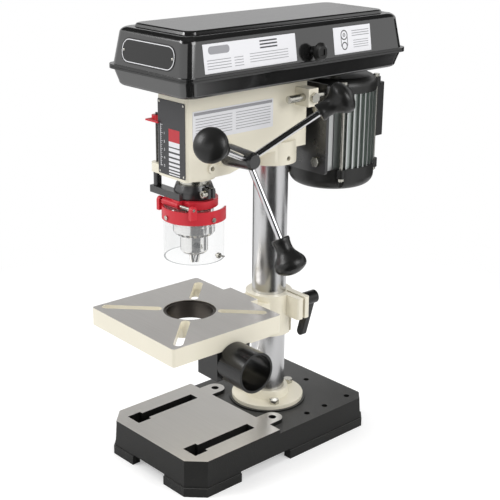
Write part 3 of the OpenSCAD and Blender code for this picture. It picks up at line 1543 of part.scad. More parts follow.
module dust_port() color(BLACK) on_table() translate([0, hole_y, 0]) difference() {
    union() {
        translate([port_x, 0, port_z]) along_x() cylinder(r = port_r, h = port_l);
        translate([box_left, -port_r, box_bottom])
            cube([port_x - box_left, port_d, table_bottom - box_bottom]);
    }
    translate([box_left + 2, 0, port_z]) along_x()
        cylinder(r = port_r - port_wall, h = port_x - box_left + port_l + CUT);
    translate([box_left - CUT, -port_r + port_wall, box_bottom + port_wall])
        cube([port_x - box_left - port_wall, port_d - 2 * port_wall, table_bottom - box_bottom]);
}

base();
column_flange();
flange_bolts();
column();
headstock();
head_set_screws();
pulley_bearing();
spring_cap();
return_spring();
switch_box();
switch_rocker();
pulley_tray();
tray_screws();
pulley_cover();
cover_knob();
cover_hinge_pins();
v_belt();
spindle_pulley();
motor_pulley();
bar_lock_bolts();
motor_slide_bars();
motor_mount_plate();
mount_bolts();
motor_body();
motor_top_bell();
motor_bottom_bell();
motor_bolts();
capacitor_box();
motor_stator();
motor_bearings();
motor_shaft();
motor_rotor();
motor_fan();
quill();
quill_collar();
collar_bolt();
depth_rod();
depth_pointer();
spindle_bearings();
guard_clamp();
guard_pin();
guard_bracket();
guard_shield();
guard_screws();
spindle();
chuck_body();
chuck_sleeve();
chuck_jaw_a();
chuck_jaw_b();
chuck_jaw_c();
feed_shaft();
feed_hub();
feed_levers();
feed_knobs();
table();
table_insert();
dust_port();
table_clamp_bolt();
lock_handle();
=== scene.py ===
"""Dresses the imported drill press: finishes, pressed cover, plates, small trim and a studio stage."""

import json
import math

import bmesh
import bpy
from mathutils import Matrix, Vector


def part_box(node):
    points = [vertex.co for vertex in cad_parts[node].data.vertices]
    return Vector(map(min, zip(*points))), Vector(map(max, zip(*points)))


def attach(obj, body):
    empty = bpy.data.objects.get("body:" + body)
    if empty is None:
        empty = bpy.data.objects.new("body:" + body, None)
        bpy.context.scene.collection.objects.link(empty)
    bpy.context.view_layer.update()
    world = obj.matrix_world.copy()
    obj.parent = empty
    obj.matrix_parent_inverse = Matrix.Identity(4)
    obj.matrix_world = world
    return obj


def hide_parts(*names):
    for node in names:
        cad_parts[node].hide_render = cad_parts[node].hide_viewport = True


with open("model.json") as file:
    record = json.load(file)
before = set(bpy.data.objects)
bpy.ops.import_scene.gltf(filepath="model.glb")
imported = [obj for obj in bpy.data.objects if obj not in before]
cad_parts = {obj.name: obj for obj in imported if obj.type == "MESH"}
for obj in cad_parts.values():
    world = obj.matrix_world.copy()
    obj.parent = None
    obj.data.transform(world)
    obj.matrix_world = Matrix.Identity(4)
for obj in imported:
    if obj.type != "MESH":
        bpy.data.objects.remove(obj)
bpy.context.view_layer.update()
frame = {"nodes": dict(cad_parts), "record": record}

bl_info = {
    "name": "Drill press dresser",
    "version": (1, 0, 0),
    "blender": (4, 5, 0),
    "location": "3D View > Sidebar > Drill press",
    "description": "Gives a packed benchtop drill press its finishes, cover, plates and stage",
    "category": "Object",
}

MM = 0.001
NEAR = 0.01 * MM


def linear(hex_colour):
    """Linear RGBA of an sRGB hex colour."""
    parts = [int(hex_colour[i:i + 2], 16) / 255 for i in (0, 2, 4)]
    return [c / 12.92 if c <= 0.04045 else ((c + 0.055) / 1.055) ** 2.4 for c in parts] + [1.0]


def colour_prop(name, hex_colour, description):
    """Colour with an sRGB hex default."""
    return bpy.props.FloatVectorProperty(
        name=name, description=description, subtype="COLOR", size=4, min=0, max=1, default=linear(hex_colour)
    )


def length_prop(name, size, description):
    """Length with a default in millimetres."""
    return bpy.props.FloatProperty(
        name=name, description=description, unit="LENGTH", subtype="DISTANCE", min=0, default=size * MM
    )


def angle_prop(name, degrees, description):
    """Angle with a default in degrees."""
    return bpy.props.FloatProperty(
        name=name, description=description, unit="ROTATION", subtype="ANGLE", default=math.radians(degrees)
    )


class DrillPressColours(bpy.types.PropertyGroup):
    """Colours of the drill press."""

    cream: colour_prop("Cream enamel", "EEE8D5", "Enamel of the head, table and column flange")
    base: colour_prop("Base enamel", "1E1E1D", "Coarse enamel of the base")
    # Base lit tops is painted light: a lighter tone on the level tops of the base, where light falls
    base_top: colour_prop("Base tops", "4A4A49", "Level tops of the base, lighter with painted light")
    cover: colour_prop("Cover enamel", "1B1B1B", "Gloss enamel of the belt cover")
    ground: colour_prop("Ground iron", "CCC9C5", "Ground top of the table")
    # The pad's colour is a lighter copy of the ground iron: painted light against the shade on the base's pad
    pad: colour_prop("Ground pad", "E2DFDA", "Ground pad of the base")
    guard: colour_prop("Guard red", "D02836", "Guard, depth pointer and switch")
    knob: colour_prop("Knob black", "171716", "Moulded knobs and feed hub")
    motor: colour_prop("Motor black", "1D1D1C", "Satin enamel of the motor's end bells")
    plate: colour_prop("Plate white", "E9E9EC", "Printed plates on the cover and the head")


class DrillPressCover(bpy.types.PropertyGroup):
    """Pressed belt cover."""

    lip: length_prop("Lip", 3.8, "How far the lip stands out from the walls")
    lip_height: length_prop("Lip height", 2.6, "Height of the turned lip")
    wall: length_prop("Sheet", 2.2, "Sheet thickness")
    corner: length_prop("Corner", 15, "Plan radius of the corners")
    tray_draft: length_prop("Tray draft", 8, "Inset of the tray's floor from the lip")
    tray_round: length_prop("Tray rounding", 6, "Rounding between the tray's wall and floor")
    lid_draft: length_prop("Lid draft", 9.5, "Inset of the lid's shoulder from the lip")
    shoulder: length_prop("Shoulder", 8, "Rounding of the lid's shoulder")
    panel_inset: length_prop("Panel inset", 23, "Inset of the raised panel from the lip")
    panel_height: length_prop("Panel height", 4.5, "Height of the raised panel")
    panel_draft: length_prop("Panel draft", 3, "Inset of the panel's top from its foot")
    panel_round: length_prop("Panel rounding", 1.8, "Rounding of the panel's top edge")
    seam: length_prop("Seam", 0.3, "Gap between the two lips")
    knuckle: length_prop("Knuckle", 14, "Length of a hinge's middle knuckle")
    knuckle_radius: length_prop("Knuckle radius", 3.8, "Outer radius of a hinge knuckle")
    pin_radius: length_prop("Pin bore", 2.06, "Bore radius of a hinge knuckle")
    pin_end: length_prop("Pin end", 2, "How far a hinge pin stands out of its knuckles")
    screw_height: length_prop("Tray screw", 3, "Height of a tray screw's head")
    spindle_hole: length_prop("Spindle hole", 38.1, "Hole in the tray round the spindle")
    motor_hole: length_prop("Motor hole", 23, "Width of the slot in the tray round the motor shaft")
    motor_slide: length_prop("Motor slide", 10, "How far the motor shaft slides in its slot")


class DrillPressStage(bpy.types.PropertyGroup):
    """Camera and studio."""

    azimuth: angle_prop("Azimuth", 47.16, "Camera's turn from the front towards the levers")
    elevation: angle_prop("Elevation", 19.17, "Camera's height angle")
    roll: angle_prop("Roll", 0.59, "Camera's tilt about its own axis")
    distance: length_prop("Distance", 1431.3, "Camera's distance from its target")
    target: bpy.props.FloatVectorProperty(
        name="Target", description="Point that the camera looks at", unit="LENGTH", subtype="TRANSLATION",
        size=3, default=(26.14 * MM, -13.88 * MM, 279.83 * MM)
    )
    lens: bpy.props.FloatProperty(
        name="Lens", description="Focal length in millimetres", unit="CAMERA", min=10, default=80.24
    )


def colours():
    """Colours that are set in the scene."""
    return bpy.context.scene.drill_press_colours


def cover():
    """Cover sizes that are set in the scene."""
    return bpy.context.scene.drill_press_cover


def studio():
    """Camera settings of the scene."""
    return bpy.context.scene.drill_press_stage


# Small helpers for modelling with operators

# Rounded edges: steps, least angle in degrees, how far shading stays smooth past it, weight of large faces
EDGE_STEPS = 2
EDGE_ANGLE = 35
SMOOTH_OVER = 3
FACE_WEIGHT = 100

# Steps of a small round corner
CORNER_STEPS = 5


def fresh_start():
    """Leave edit mode and deselect everything."""
    if bpy.context.object and bpy.context.object.mode != "OBJECT":
        bpy.ops.object.mode_set(mode="OBJECT")
    bpy.ops.object.select_all(action="DESELECT")


def edit_all():
    """Enter edit mode with the whole mesh selected."""
    bpy.ops.object.mode_set(mode="EDIT")
    bpy.ops.mesh.select_all(action="SELECT")


def leave_closed():
    """Turn all faces of a mesh outwards and leave edit mode."""
    bpy.ops.mesh.select_all(action="SELECT")
    bpy.ops.mesh.normals_make_consistent(inside=False)
    bpy.ops.object.mode_set(mode="OBJECT")


def settle(name):
    """Name the active object and move its place, turn and scale into its mesh."""
    piece = bpy.context.object
    piece.name = piece.data.name = name
    bpy.ops.object.transform_apply(location=True, rotation=True, scale=True)
    return piece


def pick(test, kind="FACE"):
    """Select, in edit mode, the faces or edges of the active mesh that pass a test."""
    mesh = bpy.context.edit_object.data
    bpy.ops.mesh.select_mode(type=kind)
    bpy.ops.mesh.select_all(action="DESELECT")
    shape = bmesh.from_edit_mesh(mesh)
    for item in shape.faces if kind == "FACE" else shape.edges:
        item.select_set(test(item))
    bmesh.update_edit_mesh(mesh)


def finish_with(piece, kind, **settings):
    """Add a modifier and apply it."""
    bpy.context.view_layer.objects.active = piece
    modifier = piece.modifiers.new(kind.title(), kind)
    for key, value in settings.items():
        setattr(modifier, key, value)
    bpy.ops.object.modifier_apply(modifier=modifier.name)


def round_edges(piece, width, angle=EDGE_ANGLE):
    """Round the sharp edges of a piece and shade it smooth between the rest."""
    fresh_start()
    piece.select_set(True)
    bpy.context.view_layer.objects.active = piece
    finish_with(
        piece, "BEVEL", width=width * MM, segments=EDGE_STEPS, limit_method="ANGLE",
        angle_limit=math.radians(angle), miter_outer="MITER_ARC"
    )
    bpy.ops.object.shade_smooth_by_angle(angle=math.radians(angle + SMOOTH_OVER))
    finish_with(piece, "WEIGHTED_NORMAL", keep_sharp=True, weight=FACE_WEIGHT)


def paint(piece, *materials):
    """Give a piece its materials, the first one all over."""
    piece.data.materials.clear()
    for material in materials:
        piece.data.materials.append(material)


def join(pieces, name):
    """Join pieces into one object."""
    fresh_start()
    for piece in pieces:
        piece.select_set(True)
    bpy.context.view_layer.objects.active = pieces[0]
    bpy.ops.object.join()
    return settle(name)


def plane_at(origin, across, up):
    """Place of a flat piece: X runs across it, Y up it and Z out of it."""
    across, up = Vector(across).normalized(), Vector(up).normalized()
    turn = Matrix((across, up, across.cross(up))).transposed()
    return Matrix.Translation(Vector(origin) * MM) @ turn.to_4x4()


def rectangle(name, width, length, location, tilt=0):
    """Flat rectangle, tilted about X."""
    fresh_start()
    bpy.ops.mesh.primitive_plane_add(size=1, location=location, rotation=(tilt, 0, 0))
    bpy.context.object.scale = (width, length, 1)
    return settle(name)


def sheet(x, y, width, height, foot, thick, corner=0.0):
    """Thin rectangle centred at x, y, in millimetres of its plate, with round corners."""
    piece = rectangle("sheet", width * MM, height * MM, (x * MM, y * MM, foot * MM))
    edit_all()
    if corner:
        bpy.ops.mesh.bevel(offset=corner * MM, segments=CORNER_STEPS, affect="VERTICES")
    bpy.ops.mesh.extrude_region_move(TRANSFORM_OT_translate={"value": (0, 0, thick * MM)})
    leave_closed()
    return piece


def cut(piece, tool):
    """Cut one piece with another and remove the tool."""
    finish_with(piece, "BOOLEAN", operation="DIFFERENCE", solver="EXACT", object=tool)
    bpy.data.objects.remove(tool)


def centre(name):
    """Middle of a node's box."""
    low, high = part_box(name)
    return (low + high) / 2


# Materials

def node(tree, kind, inputs=None, **settings):
    """Add a shader node with its settings, input values and links."""
    made = tree.nodes.new("ShaderNode" + kind)
    for key, value in settings.items():
        setattr(made, key, value)
    for key, value in (inputs or {}).items():
        if isinstance(value, bpy.types.NodeSocket):
            tree.links.new(value, made.inputs[key])
        else:
            made.inputs[key].default_value = value
    return made


def start_material(name, inputs):
    """New material with a Principled shader, returned with its tree and shader."""
    material = bpy.data.materials.new(name)
    material.use_nodes = True
    tree = material.node_tree
    shader = tree.nodes["Principled BSDF"]
    for key, value in inputs.items():
        shader.inputs[key].default_value = value
    return material, tree, shader


def object_place(tree, stretch=(1, 1, 1)):
    """Object coordinates, stretched for patterns that run one way."""
    place = node(tree, "TexCoord")
    return node(tree, "Mapping", {"Vector": place.outputs["Object"], "Scale": stretch}).outputs[0]


# Octaves of the noise in tint, gloss and grain
TINT_DETAIL = 3.0
GLOSS_DETAIL = 4.0
GRAIN_DETAIL = 2.0


def noise(tree, place, size, detail):
    """Soft noise in patches of this many millimetres."""
    texture = node(tree, "TexNoise", {"Vector": place, "Scale": 1 / (size * MM), "Detail": detail})
    return texture.outputs["Fac"]


def add_tint(tree, shader, place, colour, size, spread):
    """Vary a colour softly over patches of this many millimetres."""
    dark = [c * (1 - spread) for c in colour[:3]] + [1]
    light = [min(1, c * (1 + spread)) for c in colour[:3]] + [1]
    patches = noise(tree, place, size, TINT_DETAIL)
    mix = node(tree, "Mix", {"Factor": patches, "A": dark, "B": light}, data_type="RGBA")
    tree.links.new(mix.outputs["Result"], shader.inputs["Base Color"])


def add_roughness(tree, shader, place, size, low, high):
    """Vary the roughness over patches of this many millimetres."""
    patches = noise(tree, place, size, GLOSS_DETAIL)
    spread = node(tree, "MapRange", {"Value": patches, "To Min": low, "To Max": high})
    tree.links.new(spread.outputs["Result"], shader.inputs["Roughness"])


def add_bump(tree, shader, place, size, depth, strength):
    """Raise a fine grain of this many millimetres."""
    grain = noise(tree, place, size, GRAIN_DETAIL)
    bump = node(tree, "Bump", {"Height": grain, "Distance": depth * MM, "Strength": strength})
    tree.links.new(bump.outputs["Normal"], shader.inputs["Normal"])


# Patches of tint and gloss on paint, in millimetres, and how far the gloss varies
TINT_PATCH = 70
GLOSS_PATCH = 25
GLOSS_SPREAD = 0.04
COAT_ROUGHNESS = 0.08

# Patches of tint and gloss on metal, in grains of its cut, and the share by which the gloss varies
TINT_GRAINS = 3
GLOSS_GRAINS = 2
GLOSS_SHARE = 0.2

# Stretch of the marks that a cut leaves: turned about Z, drawn along Z and ground along X
TURNED = (0.05, 0.05, 1)
DRAWN = (1, 1, 0.02)
GROUND = (0.03, 1, 1)


def painted(name, colour, rough, peel, depth, strength, spread, coat=0.0, ior=1.5):
    """Paint on metal: a soft tint, patchy gloss and the grain of the coat."""
    material, tree, shader = start_material(name, {
        "IOR": ior, "Coat Weight": coat, "Coat Roughness": COAT_ROUGHNESS
    })
    place = object_place(tree)
    add_tint(tree, shader, place, colour, TINT_PATCH, spread)
    add_roughness(tree, shader, place, GLOSS_PATCH, rough - GLOSS_SPREAD, rough + GLOSS_SPREAD)
    add_bump(tree, shader, place, peel, depth, strength)
    return material


def metal(name, colour, rough, grain, stretch=(1, 1, 1), depth=0.01, strength=0.15, spread=0.05):
    """Bare metal with the marks of how it was cut, drawn out along the stretch."""
    material, tree, shader = start_material(name, {"Metallic": 1.0})
    place = object_place(tree, stretch)
    low, high = rough * (1 - GLOSS_SHARE), rough * (1 + GLOSS_SHARE)
    add_tint(tree, shader, place, colour, grain * TINT_GRAINS, spread)
    add_roughness(tree, shader, place, grain * GLOSS_GRAINS, low, high)
    add_bump(tree, shader, place, grain, depth, strength)
    return material


def cream_enamel():
    """Gloss enamel sprayed on cast iron: warm white with the faint orange peel of a thick coat."""
    return painted(
        "cream enamel on cast iron", colours().cream, rough=0.32, peel=2.4, depth=0.05, strength=0.25,
        spread=0.02, coat=0.3
    )


# Upward part of the normal between which the base's enamel turns from its own colour to the painted light of
# its level tops
SIDE_BELOW = 0.6
LIT_TOP_ABOVE = 0.95


def base_enamel():
    """Coarse black enamel on a sand casting: pits break up the light, and painted light makes its level tops
    lighter.
    """
    material = painted(
        "coarse black enamel on cast iron", colours().base, rough=0.36, peel=1.8, depth=0.35, strength=0.8,
        spread=0.14, ior=1.32
    )
    tree = material.node_tree
    shader = tree.nodes["Principled BSDF"]
    side_tone = shader.inputs["Base Color"].links[0].from_socket
    # Painted light: faces that look up blend from the enamel to the lighter top colour
    facing = node(tree, "NewGeometry")
    lift = node(tree, "SeparateXYZ", {"Vector": facing.outputs["True Normal"]})
    level = node(tree, "MapRange", {
        "Value": lift.outputs["Z"], "From Min": SIDE_BELOW, "From Max": LIT_TOP_ABOVE
    })
    lit_top_tone = node(tree, "Mix", {
        "Factor": level.outputs["Result"], "A": side_tone, "B": colours().base_top
    }, data_type="RGBA")
    tree.links.new(lit_top_tone.outputs["Result"], shader.inputs["Base Color"])
    return material


def cover_enamel():
    """Baked gloss enamel on pressed steel: black, with long soft reflections."""
    return painted(
        "black gloss enamel on pressed steel", colours().cover, rough=0.14, peel=3.0, depth=0.02,
        strength=0.12, spread=0.05, ior=1.9
    )


def guard_nylon():
    """Red moulded nylon: even colour with a satin skin."""
    return painted(
        "red moulded nylon", colours().guard, rough=0.36, peel=1.2, depth=0.02, strength=0.15, spread=0.04
    )


def motor_enamel():
    """Satin black enamel on a die casting."""
    return painted(
        "satin black enamel on aluminium", colours().motor, rough=0.38, peel=0.9, depth=0.03, strength=0.25,
        spread=0.08
    )


def knob_phenolic():
    """Moulded phenolic: black with a soft sheen where hands polish it."""
    return painted(
        "moulded phenolic", colours().knob, rough=0.34, peel=0.8, depth=0.015, strength=0.12, spread=0.08
    )


def port_abs():
    """Black ABS with the mould's fine spark finish."""
    return painted(
        "moulded black ABS", linear("121212"), rough=0.24, peel=0.7, depth=0.015, strength=0.15, spread=0.06
    )


# Black oxide also paints shade into the chuck's key holes and between the sleeve's teeth
def black_oxide():
    """Blackened steel: dark, a little blue, with oil sheen."""
    return painted(
        "black oxide on steel", linear("1F1F20"), rough=0.28, peel=0.6, depth=0.01, strength=0.15,
        spread=0.1, ior=1.8
    )


def rubber():
    """Belt rubber: dull grey black with a dusty grain."""
    return painted(
        "belt rubber", linear("242424"), rough=0.75, peel=0.5, depth=0.03, strength=0.4, spread=0.12
    )


def wheel_ground(name, colour):
    """Surface-ground cast iron: pale grey with fine straight wheel marks across the width."""
    return metal(name, colour, rough=0.34, grain=0.9, stretch=GROUND, depth=0.015, strength=0.2)


def ground_iron():
    """Ground top of the table."""
    return wheel_ground("ground cast iron", colours().ground)


def pad_iron():
    """Ground pad of the base, a lighter copy of the ground iron: painted light against the shade that falls
    on it.
    """
    return wheel_ground("ground cast iron pad", colours().pad)


def smeared(name, colour, low, high):
    """Steel turned or ground in fine rings about an upright axis, so reflections smear along it."""
    material, tree, shader = start_material(name, {"Metallic": 1.0, "Anisotropic": 0.7})
    place = object_place(tree, TURNED)
    add_tint(tree, shader, place, linear(colour), size=3, spread=0.015)
    add_roughness(tree, shader, place, size=40, low=low, high=high)
    round_it = node(tree, "Tangent", direction_type="RADIAL", axis="Z")
    tree.links.new(round_it.outputs["Tangent"], shader.inputs["Tangent"])
    return material


def column_steel():
    """Ground steel tube."""
    return smeared("ground steel tube", "CFCFD0", 0.22, 0.26)


def bright_steel():
    """Zinc plated steel of nuts and screws."""
    return metal("zinc plated steel", linear("C9C7BE"), rough=0.24, grain=1.0, strength=0.1, spread=0.06)


def turned_steel():
    """Turned and polished chuck steel."""
    return smeared("turned steel", "F2F1EF", 0.09, 0.13)


def chrome():
    """Bright chrome on the lever rods."""
    return metal(
        "chromed steel", linear("DADADC"), rough=0.06, grain=1.0, depth=0.002, strength=0.05, spread=0.02
    )


def dark_iron():
    """Bare cast iron of the table's insert, browned by oil."""
    return metal(
        "oiled cast iron", linear("5A5550"), rough=0.42, grain=0.9, stretch=TURNED, depth=0.02, strength=0.25,
        spread=0.1
    )


def fin_aluminium():
    """Extruded aluminium of the motor's body, with die lines down its length."""
    return metal("extruded aluminium", linear("D2D4D3"), rough=0.3, grain=0.7, stretch=DRAWN, spread=0.04)


def gap_aluminium():
    """Floor and sides of the cooling gaps: the same extrusion, darker and duller, with painted shade in its
    colour.
    """
    return metal("as-drawn aluminium", linear("B2B9B5"), rough=0.42, grain=0.7, stretch=DRAWN, spread=0.06)


def pulley_aluminium():
    """Turned aluminium of the pulleys."""
    return metal("turned aluminium", linear("CBCBCB"), rough=0.28, grain=0.5, stretch=TURNED, spread=0.03)


def polycarbonate(name, colour, alpha, size, low, high):
    """Clear plastic that lets light through, with patches of gloss."""
    material, tree, shader = start_material(name, {"Base Color": linear(colour), "IOR": 1.58, "Alpha": alpha})
    add_roughness(tree, shader, object_place(tree), size, low, high)
    return material


def clear_polycarbonate():
    """Clear polycarbonate sheet: most light goes straight through, with a faint milky sheen."""
    return polycarbonate("clear polycarbonate", "F4F7F8", alpha=0.11, size=18, low=0.03, high=0.08)


def sheet_edge():
    """Sawn edge of the polycarbonate, grey and less clear: painted shade for the light lost inside the sheet.
    """
    return polycarbonate("polycarbonate edge", "7E8688", alpha=0.75, size=6, low=0.25, high=0.4)


def printed(name, colour, rough=0.35):
    """Screen-printed ink on a thin aluminium plate."""
    return painted(name, colour, rough, peel=0.8, depth=0.006, strength=0.1, spread=0.015)


def plate_white():
    """White screen print of the plates."""
    return printed("white screen print", colours().plate)


def plate_grey():
    """Grey ink of the lines that stand in for small print."""
    return printed("grey ink", linear("9A9A9E"))


def plate_dark():
    """Dark ink of the bolder lines."""
    return printed("dark ink", linear("3A3A3C"))


def scale_black():
    """Black anodised aluminium of the depth scale."""
    return printed("black anodised plate", linear("3C3C3E"), 0.4)


def badge_black():
    """Gloss black of the blank badge."""
    return printed("black badge", linear("1A1A1A"), 0.2)


def scale_red():
    """Red ink of the block above the scale's bars."""
    return printed("red ink", linear("C0303A"))


FINISHES = {
    "cream": cream_enamel, "base_black": base_enamel, "cover_black": cover_enamel,
    "motor_black": motor_enamel, "red_plastic": guard_nylon, "knob_black": knob_phenolic,
    "black_plastic": port_abs, "belt_rubber": rubber, "dark_steel": black_oxide,
    "ground": ground_iron, "pad": pad_iron, "insert_iron": dark_iron, "column_steel": column_steel,
    "steel": bright_steel, "chuck_steel": turned_steel, "chrome": chrome,
    "motor_aluminium": fin_aluminium, "fin_gap": gap_aluminium, "aluminium": pulley_aluminium,
    "clear": clear_polycarbonate, "sheet_edge": sheet_edge,
    "plate": plate_white, "plate_grey": plate_grey, "plate_dark": plate_dark,
    "scale": scale_black, "scale_red": scale_red, "badge": badge_black,
}
MADE = {}


def finish(slot):
    """The material of a slot, made once."""
    if slot not in MADE:
        MADE[slot] = FINISHES[slot]()
    return MADE[slot]


# Dressed solids

# Edge rounding of each solid that shows, in millimetres
EDGES = {
    "base": 1.6, "column_flange": 1.2, "flange_bolts": 0.4, "column": 0.5, "headstock": 1.4, "table": 1.1,
    "table_insert": 0.3, "dust_port": 0.7, "lock_handle": 1.0, "table_clamp_bolt": 0.4, "quill": 0.2,
    "quill_collar": 0.7, "collar_bolt": 0.3, "guard_clamp": 0.6, "guard_bracket": 0.5, "guard_pin": 0.3,
    "guard_shield": 0.3, "chuck_body": 0.4, "chuck_sleeve": 0.3, "chuck_jaw_a": 0.15, "chuck_jaw_b": 0.15,
    "chuck_jaw_c": 0.15, "feed_hub": 0.6, "feed_levers": 0.3, "motor_body": 0.3, "motor_top_bell": 0.8,
    "motor_bottom_bell": 0.8, "motor_bolts": 0.3, "capacitor_box": 1.6, "motor_mount_plate": 0.8,
    "mount_bolts": 0.3, "motor_slide_bars": 0.6, "bar_lock_bolts": 0.3, "spring_cap": 0.8, "switch_box": 0.9,
    "switch_rocker": 0.5, "depth_rod": 0.3, "depth_pointer": 0.3, "cover_knob": 0.5, "spindle_pulley": 0.4,
    "motor_pulley": 0.4, "v_belt": 0.3, "cover_hinge_pins": 0.3, "tray_screws": 0.2, "head_set_screws": 0.2,
    "feed_knobs": 0.5, "feed_shaft": 0.2, "guard_screws": 0.3,
}

# Distance in millimetres and angle in degrees below which a solid's triangles merge into faces
MERGE = 0.001
FLAT = 0.3

# Material slot and body of each node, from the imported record
SLOT_OF = {part["node"]: part["material_slot"] for part in frame["record"]["subparts"]}
BODY_OF = {name: body for body, names in frame["record"]["behaviour"]["bodies"].items() for name in names}


def dress(piece, name):
    """Let a piece stand for a node: hide the node and put the piece on its body."""
    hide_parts(name)
    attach(piece, BODY_OF[name])


def dressed_copy(name, edge):
    """Copy of a node with its triangles merged into faces and its edges rounded."""
    fresh_start()
    source = frame["nodes"][name]
    source.select_set(True)
    bpy.context.view_layer.objects.active = source
    bpy.ops.object.duplicate()
    piece = bpy.context.object
    piece.name = piece.data.name = name + "_dressed"
    dress(piece, name)
    edit_all()
    bpy.ops.mesh.remove_doubles(threshold=MERGE * MM)
    bpy.ops.mesh.dissolve_limited(angle_limit=math.radians(FLAT))
    bpy.ops.object.mode_set(mode="OBJECT")
    bpy.ops.mesh.customdata_custom_splitnormals_clear()
    round_edges(piece, edge)
    return piece


# Faces with a second finish, bare ground iron or painted shade: upward parts of their normals, then bands,
# depths and a radius in millimetres
LEVEL = 0.999
DOWNWARD = -0.5
TOP_BAND = 0.05
FOOT_BAND = 1
FIN_TIP = 0.5
NOSE_RADIUS = 17.6
NOSE_ROUND = 6
HOLE_SHOWS = 0.7

# Painted shade between the key's teeth on the cone below the chuck's sleeve: the number of teeth, then sizes
# in millimetres
TEETH = 24
TOOTH_GAP = 2.6
GAP_SINK = 0.3
GAP_THICK = 0.35
CONE_RADIUS = 23.5
CONE_FLARE = 3
CONE_HEIGHT = 4


def dressed(name):
    """The dressed copy of a node."""
    return bpy.data.objects[name + "_dressed"]


def refinish(name, second, test):
    """Give the faces of a dressed copy that pass a test a second finish."""
    piece = dressed(name)
    paint(piece, finish(SLOT_OF[name]), finish(second))
    for face in piece.data.polygons:
        if test(face):
            face.material_index = 1


def bare_top(name, ground):
    """Bare the uppermost flat faces of a casting to its ground iron."""
    top = max(v.co.z for v in dressed(name).data.vertices)
    refinish(name, ground, lambda face: face.normal.z > LEVEL and face.center.z > top - TOP_BAND * MM)


def dull_gaps():
    """Paint shade on the floors and sides of the motor's cooling gaps and leave the fin tips bright."""
    middle = centre("motor_shaft")
    tip = max(v.co.x for v in dressed("motor_body").data.vertices) - FIN_TIP * MM
    refinish("motor_body", "fin_gap", lambda face: math.hypot(face.center.x, face.center.y - middle.y) < tip)


def dim_edge():
    """Paint shade on the shield's lower edge, where the sawn sheet faces down."""
    foot = min(v.co.z for v in dressed("guard_shield").data.vertices) + FOOT_BAND * MM
    refinish("guard_shield", "sheet_edge", lambda face: face.normal.z < DOWNWARD and face.center.z < foot)


def shade_key_holes():
    """Paint shade into the key holes and bores of the chuck's nose with the black oxide finish."""
    axis = centre("spindle").xy
    low = min(v.co.z for v in dressed("chuck_body").data.vertices) + NOSE_ROUND * MM
    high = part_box("chuck_sleeve")[0].z
    skin = (NOSE_RADIUS - HOLE_SHOWS) * MM
    refinish("chuck_body", "dark_steel", lambda face: (
        low < face.center.z < high and (face.center.xy - axis).length < skin
    ))


def sleeve_teeth():
    """Dark strips of painted shade where the gaps between the key's teeth would be, on the cone below the
    chuck's sleeve.
    """
    axis = centre("spindle") / MM
    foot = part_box("chuck_sleeve")[0].z / MM
    upright = Vector((0, 0, 1))
    gaps = []
    for i in range(TEETH):
        turn = 2 * math.pi * i / TEETH
        out = Vector((math.cos(turn), math.sin(turn), 0))
        middle = Vector((axis.x, axis.y, foot + CONE_HEIGHT / 2)) + out * (CONE_RADIUS + CONE_FLARE / 2)
        gap = sheet(0, 0, TOOTH_GAP, CONE_HEIGHT, -GAP_SINK, GAP_THICK)
        gap.matrix_world = plane_at(middle, upright.cross(out), CONE_FLARE * out + CONE_HEIGHT * upright)
        paint(gap, finish("dark_steel"))
        gaps.append(gap)
    teeth = join(gaps, "sleeve_tooth_gaps")
    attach(teeth, "chuck_sleeve")


class DRILLPRESS_OT_finishes(bpy.types.Operator):
    """Round the edges of every solid that shows and give every solid its finish"""

    bl_idname = "drillpress.finishes"
    bl_label = "Finish the solids"

    def execute(self, context):
        for name, solid in frame["nodes"].items():
            paint(solid, finish(SLOT_OF[name]))
        for name, edge in EDGES.items():
            paint(dressed_copy(name, edge), finish(SLOT_OF[name]))
        paint(dressed("head_set_screws"), finish("dark_steel"))
        # The base's pad takes its lighter copy of the ground iron, which is painted light
        bare_top("base", "pad")
        bare_top("table", "ground")
        # Painted shade on the motor's fin gaps, the shield's lower edge, the chuck's key holes and between
        # the sleeve's teeth
        dull_gaps()
        dim_edge()
        shade_key_holes()
        sleeve_teeth()
        return {"FINISHED"}


# Pressed cover

# Sides of a round tool and a knuckle, steps of a plan corner, and the sheet's edge rounding in millimetres
HOLE_SIDES = 48
KNUCKLE_SIDES = 32
PLAN_STEPS = 10
COVER_EDGE = 0.8

# Depth of a cutting tool, in thicknesses of the sheet
TOOL_DEPTH = 4


def loft(rings, width, length, middle):
    """Draw the selected face through rings of (inset, height), each scaled to its size."""
    inset, height = rings[0]
    for next_inset, next_height in rings[1:]:
        bpy.ops.mesh.extrude_region_move(TRANSFORM_OT_translate={"value": (0, 0, next_height - height)})
        scale = [(side - 2 * next_inset) / (side - 2 * inset) for side in (width, length)]
        bpy.ops.transform.resize(value=(scale[0], scale[1], 1), center_override=(*middle, next_height))
        inset, height = next_inset, next_height


def arc(start, end):
    """Rings of a quarter round that leaves its start upright and reaches its end level."""
    turns = [math.pi / 2 * i / CORNER_STEPS for i in range(1, CORNER_STEPS + 1)]
    return [
        (start[0] + (end[0] - start[0]) * (1 - math.cos(t)), start[1] + (end[1] - start[1]) * math.sin(t))
        for t in turns
    ]


def pressing(name, rings):
    """Open sheet-metal shell drawn through its rings."""
    width, length, middle = cover_plan()
    mouth = rings[0][1]
    piece = rectangle(name, width, length, (*middle, mouth))
    edit_all()
    bpy.ops.mesh.bevel(offset=cover().corner, segments=PLAN_STEPS, affect="VERTICES")
    loft(rings, width, length, middle)
    pick(lambda face: all(abs(corner.co.z - mouth) < NEAR for corner in face.verts))
    bpy.ops.mesh.delete(type="FACE")
    leave_closed()
    finish_with(piece, "SOLIDIFY", thickness=cover().wall, offset=-1, use_even_offset=True)
    return piece


def cover_plan():
    """Width, length and middle of the cover over its lip, from the lid's solid."""
    low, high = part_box("pulley_cover")
    return 2 * high.x, high.y - low.y, (0.0, (low.y + high.y) / 2)


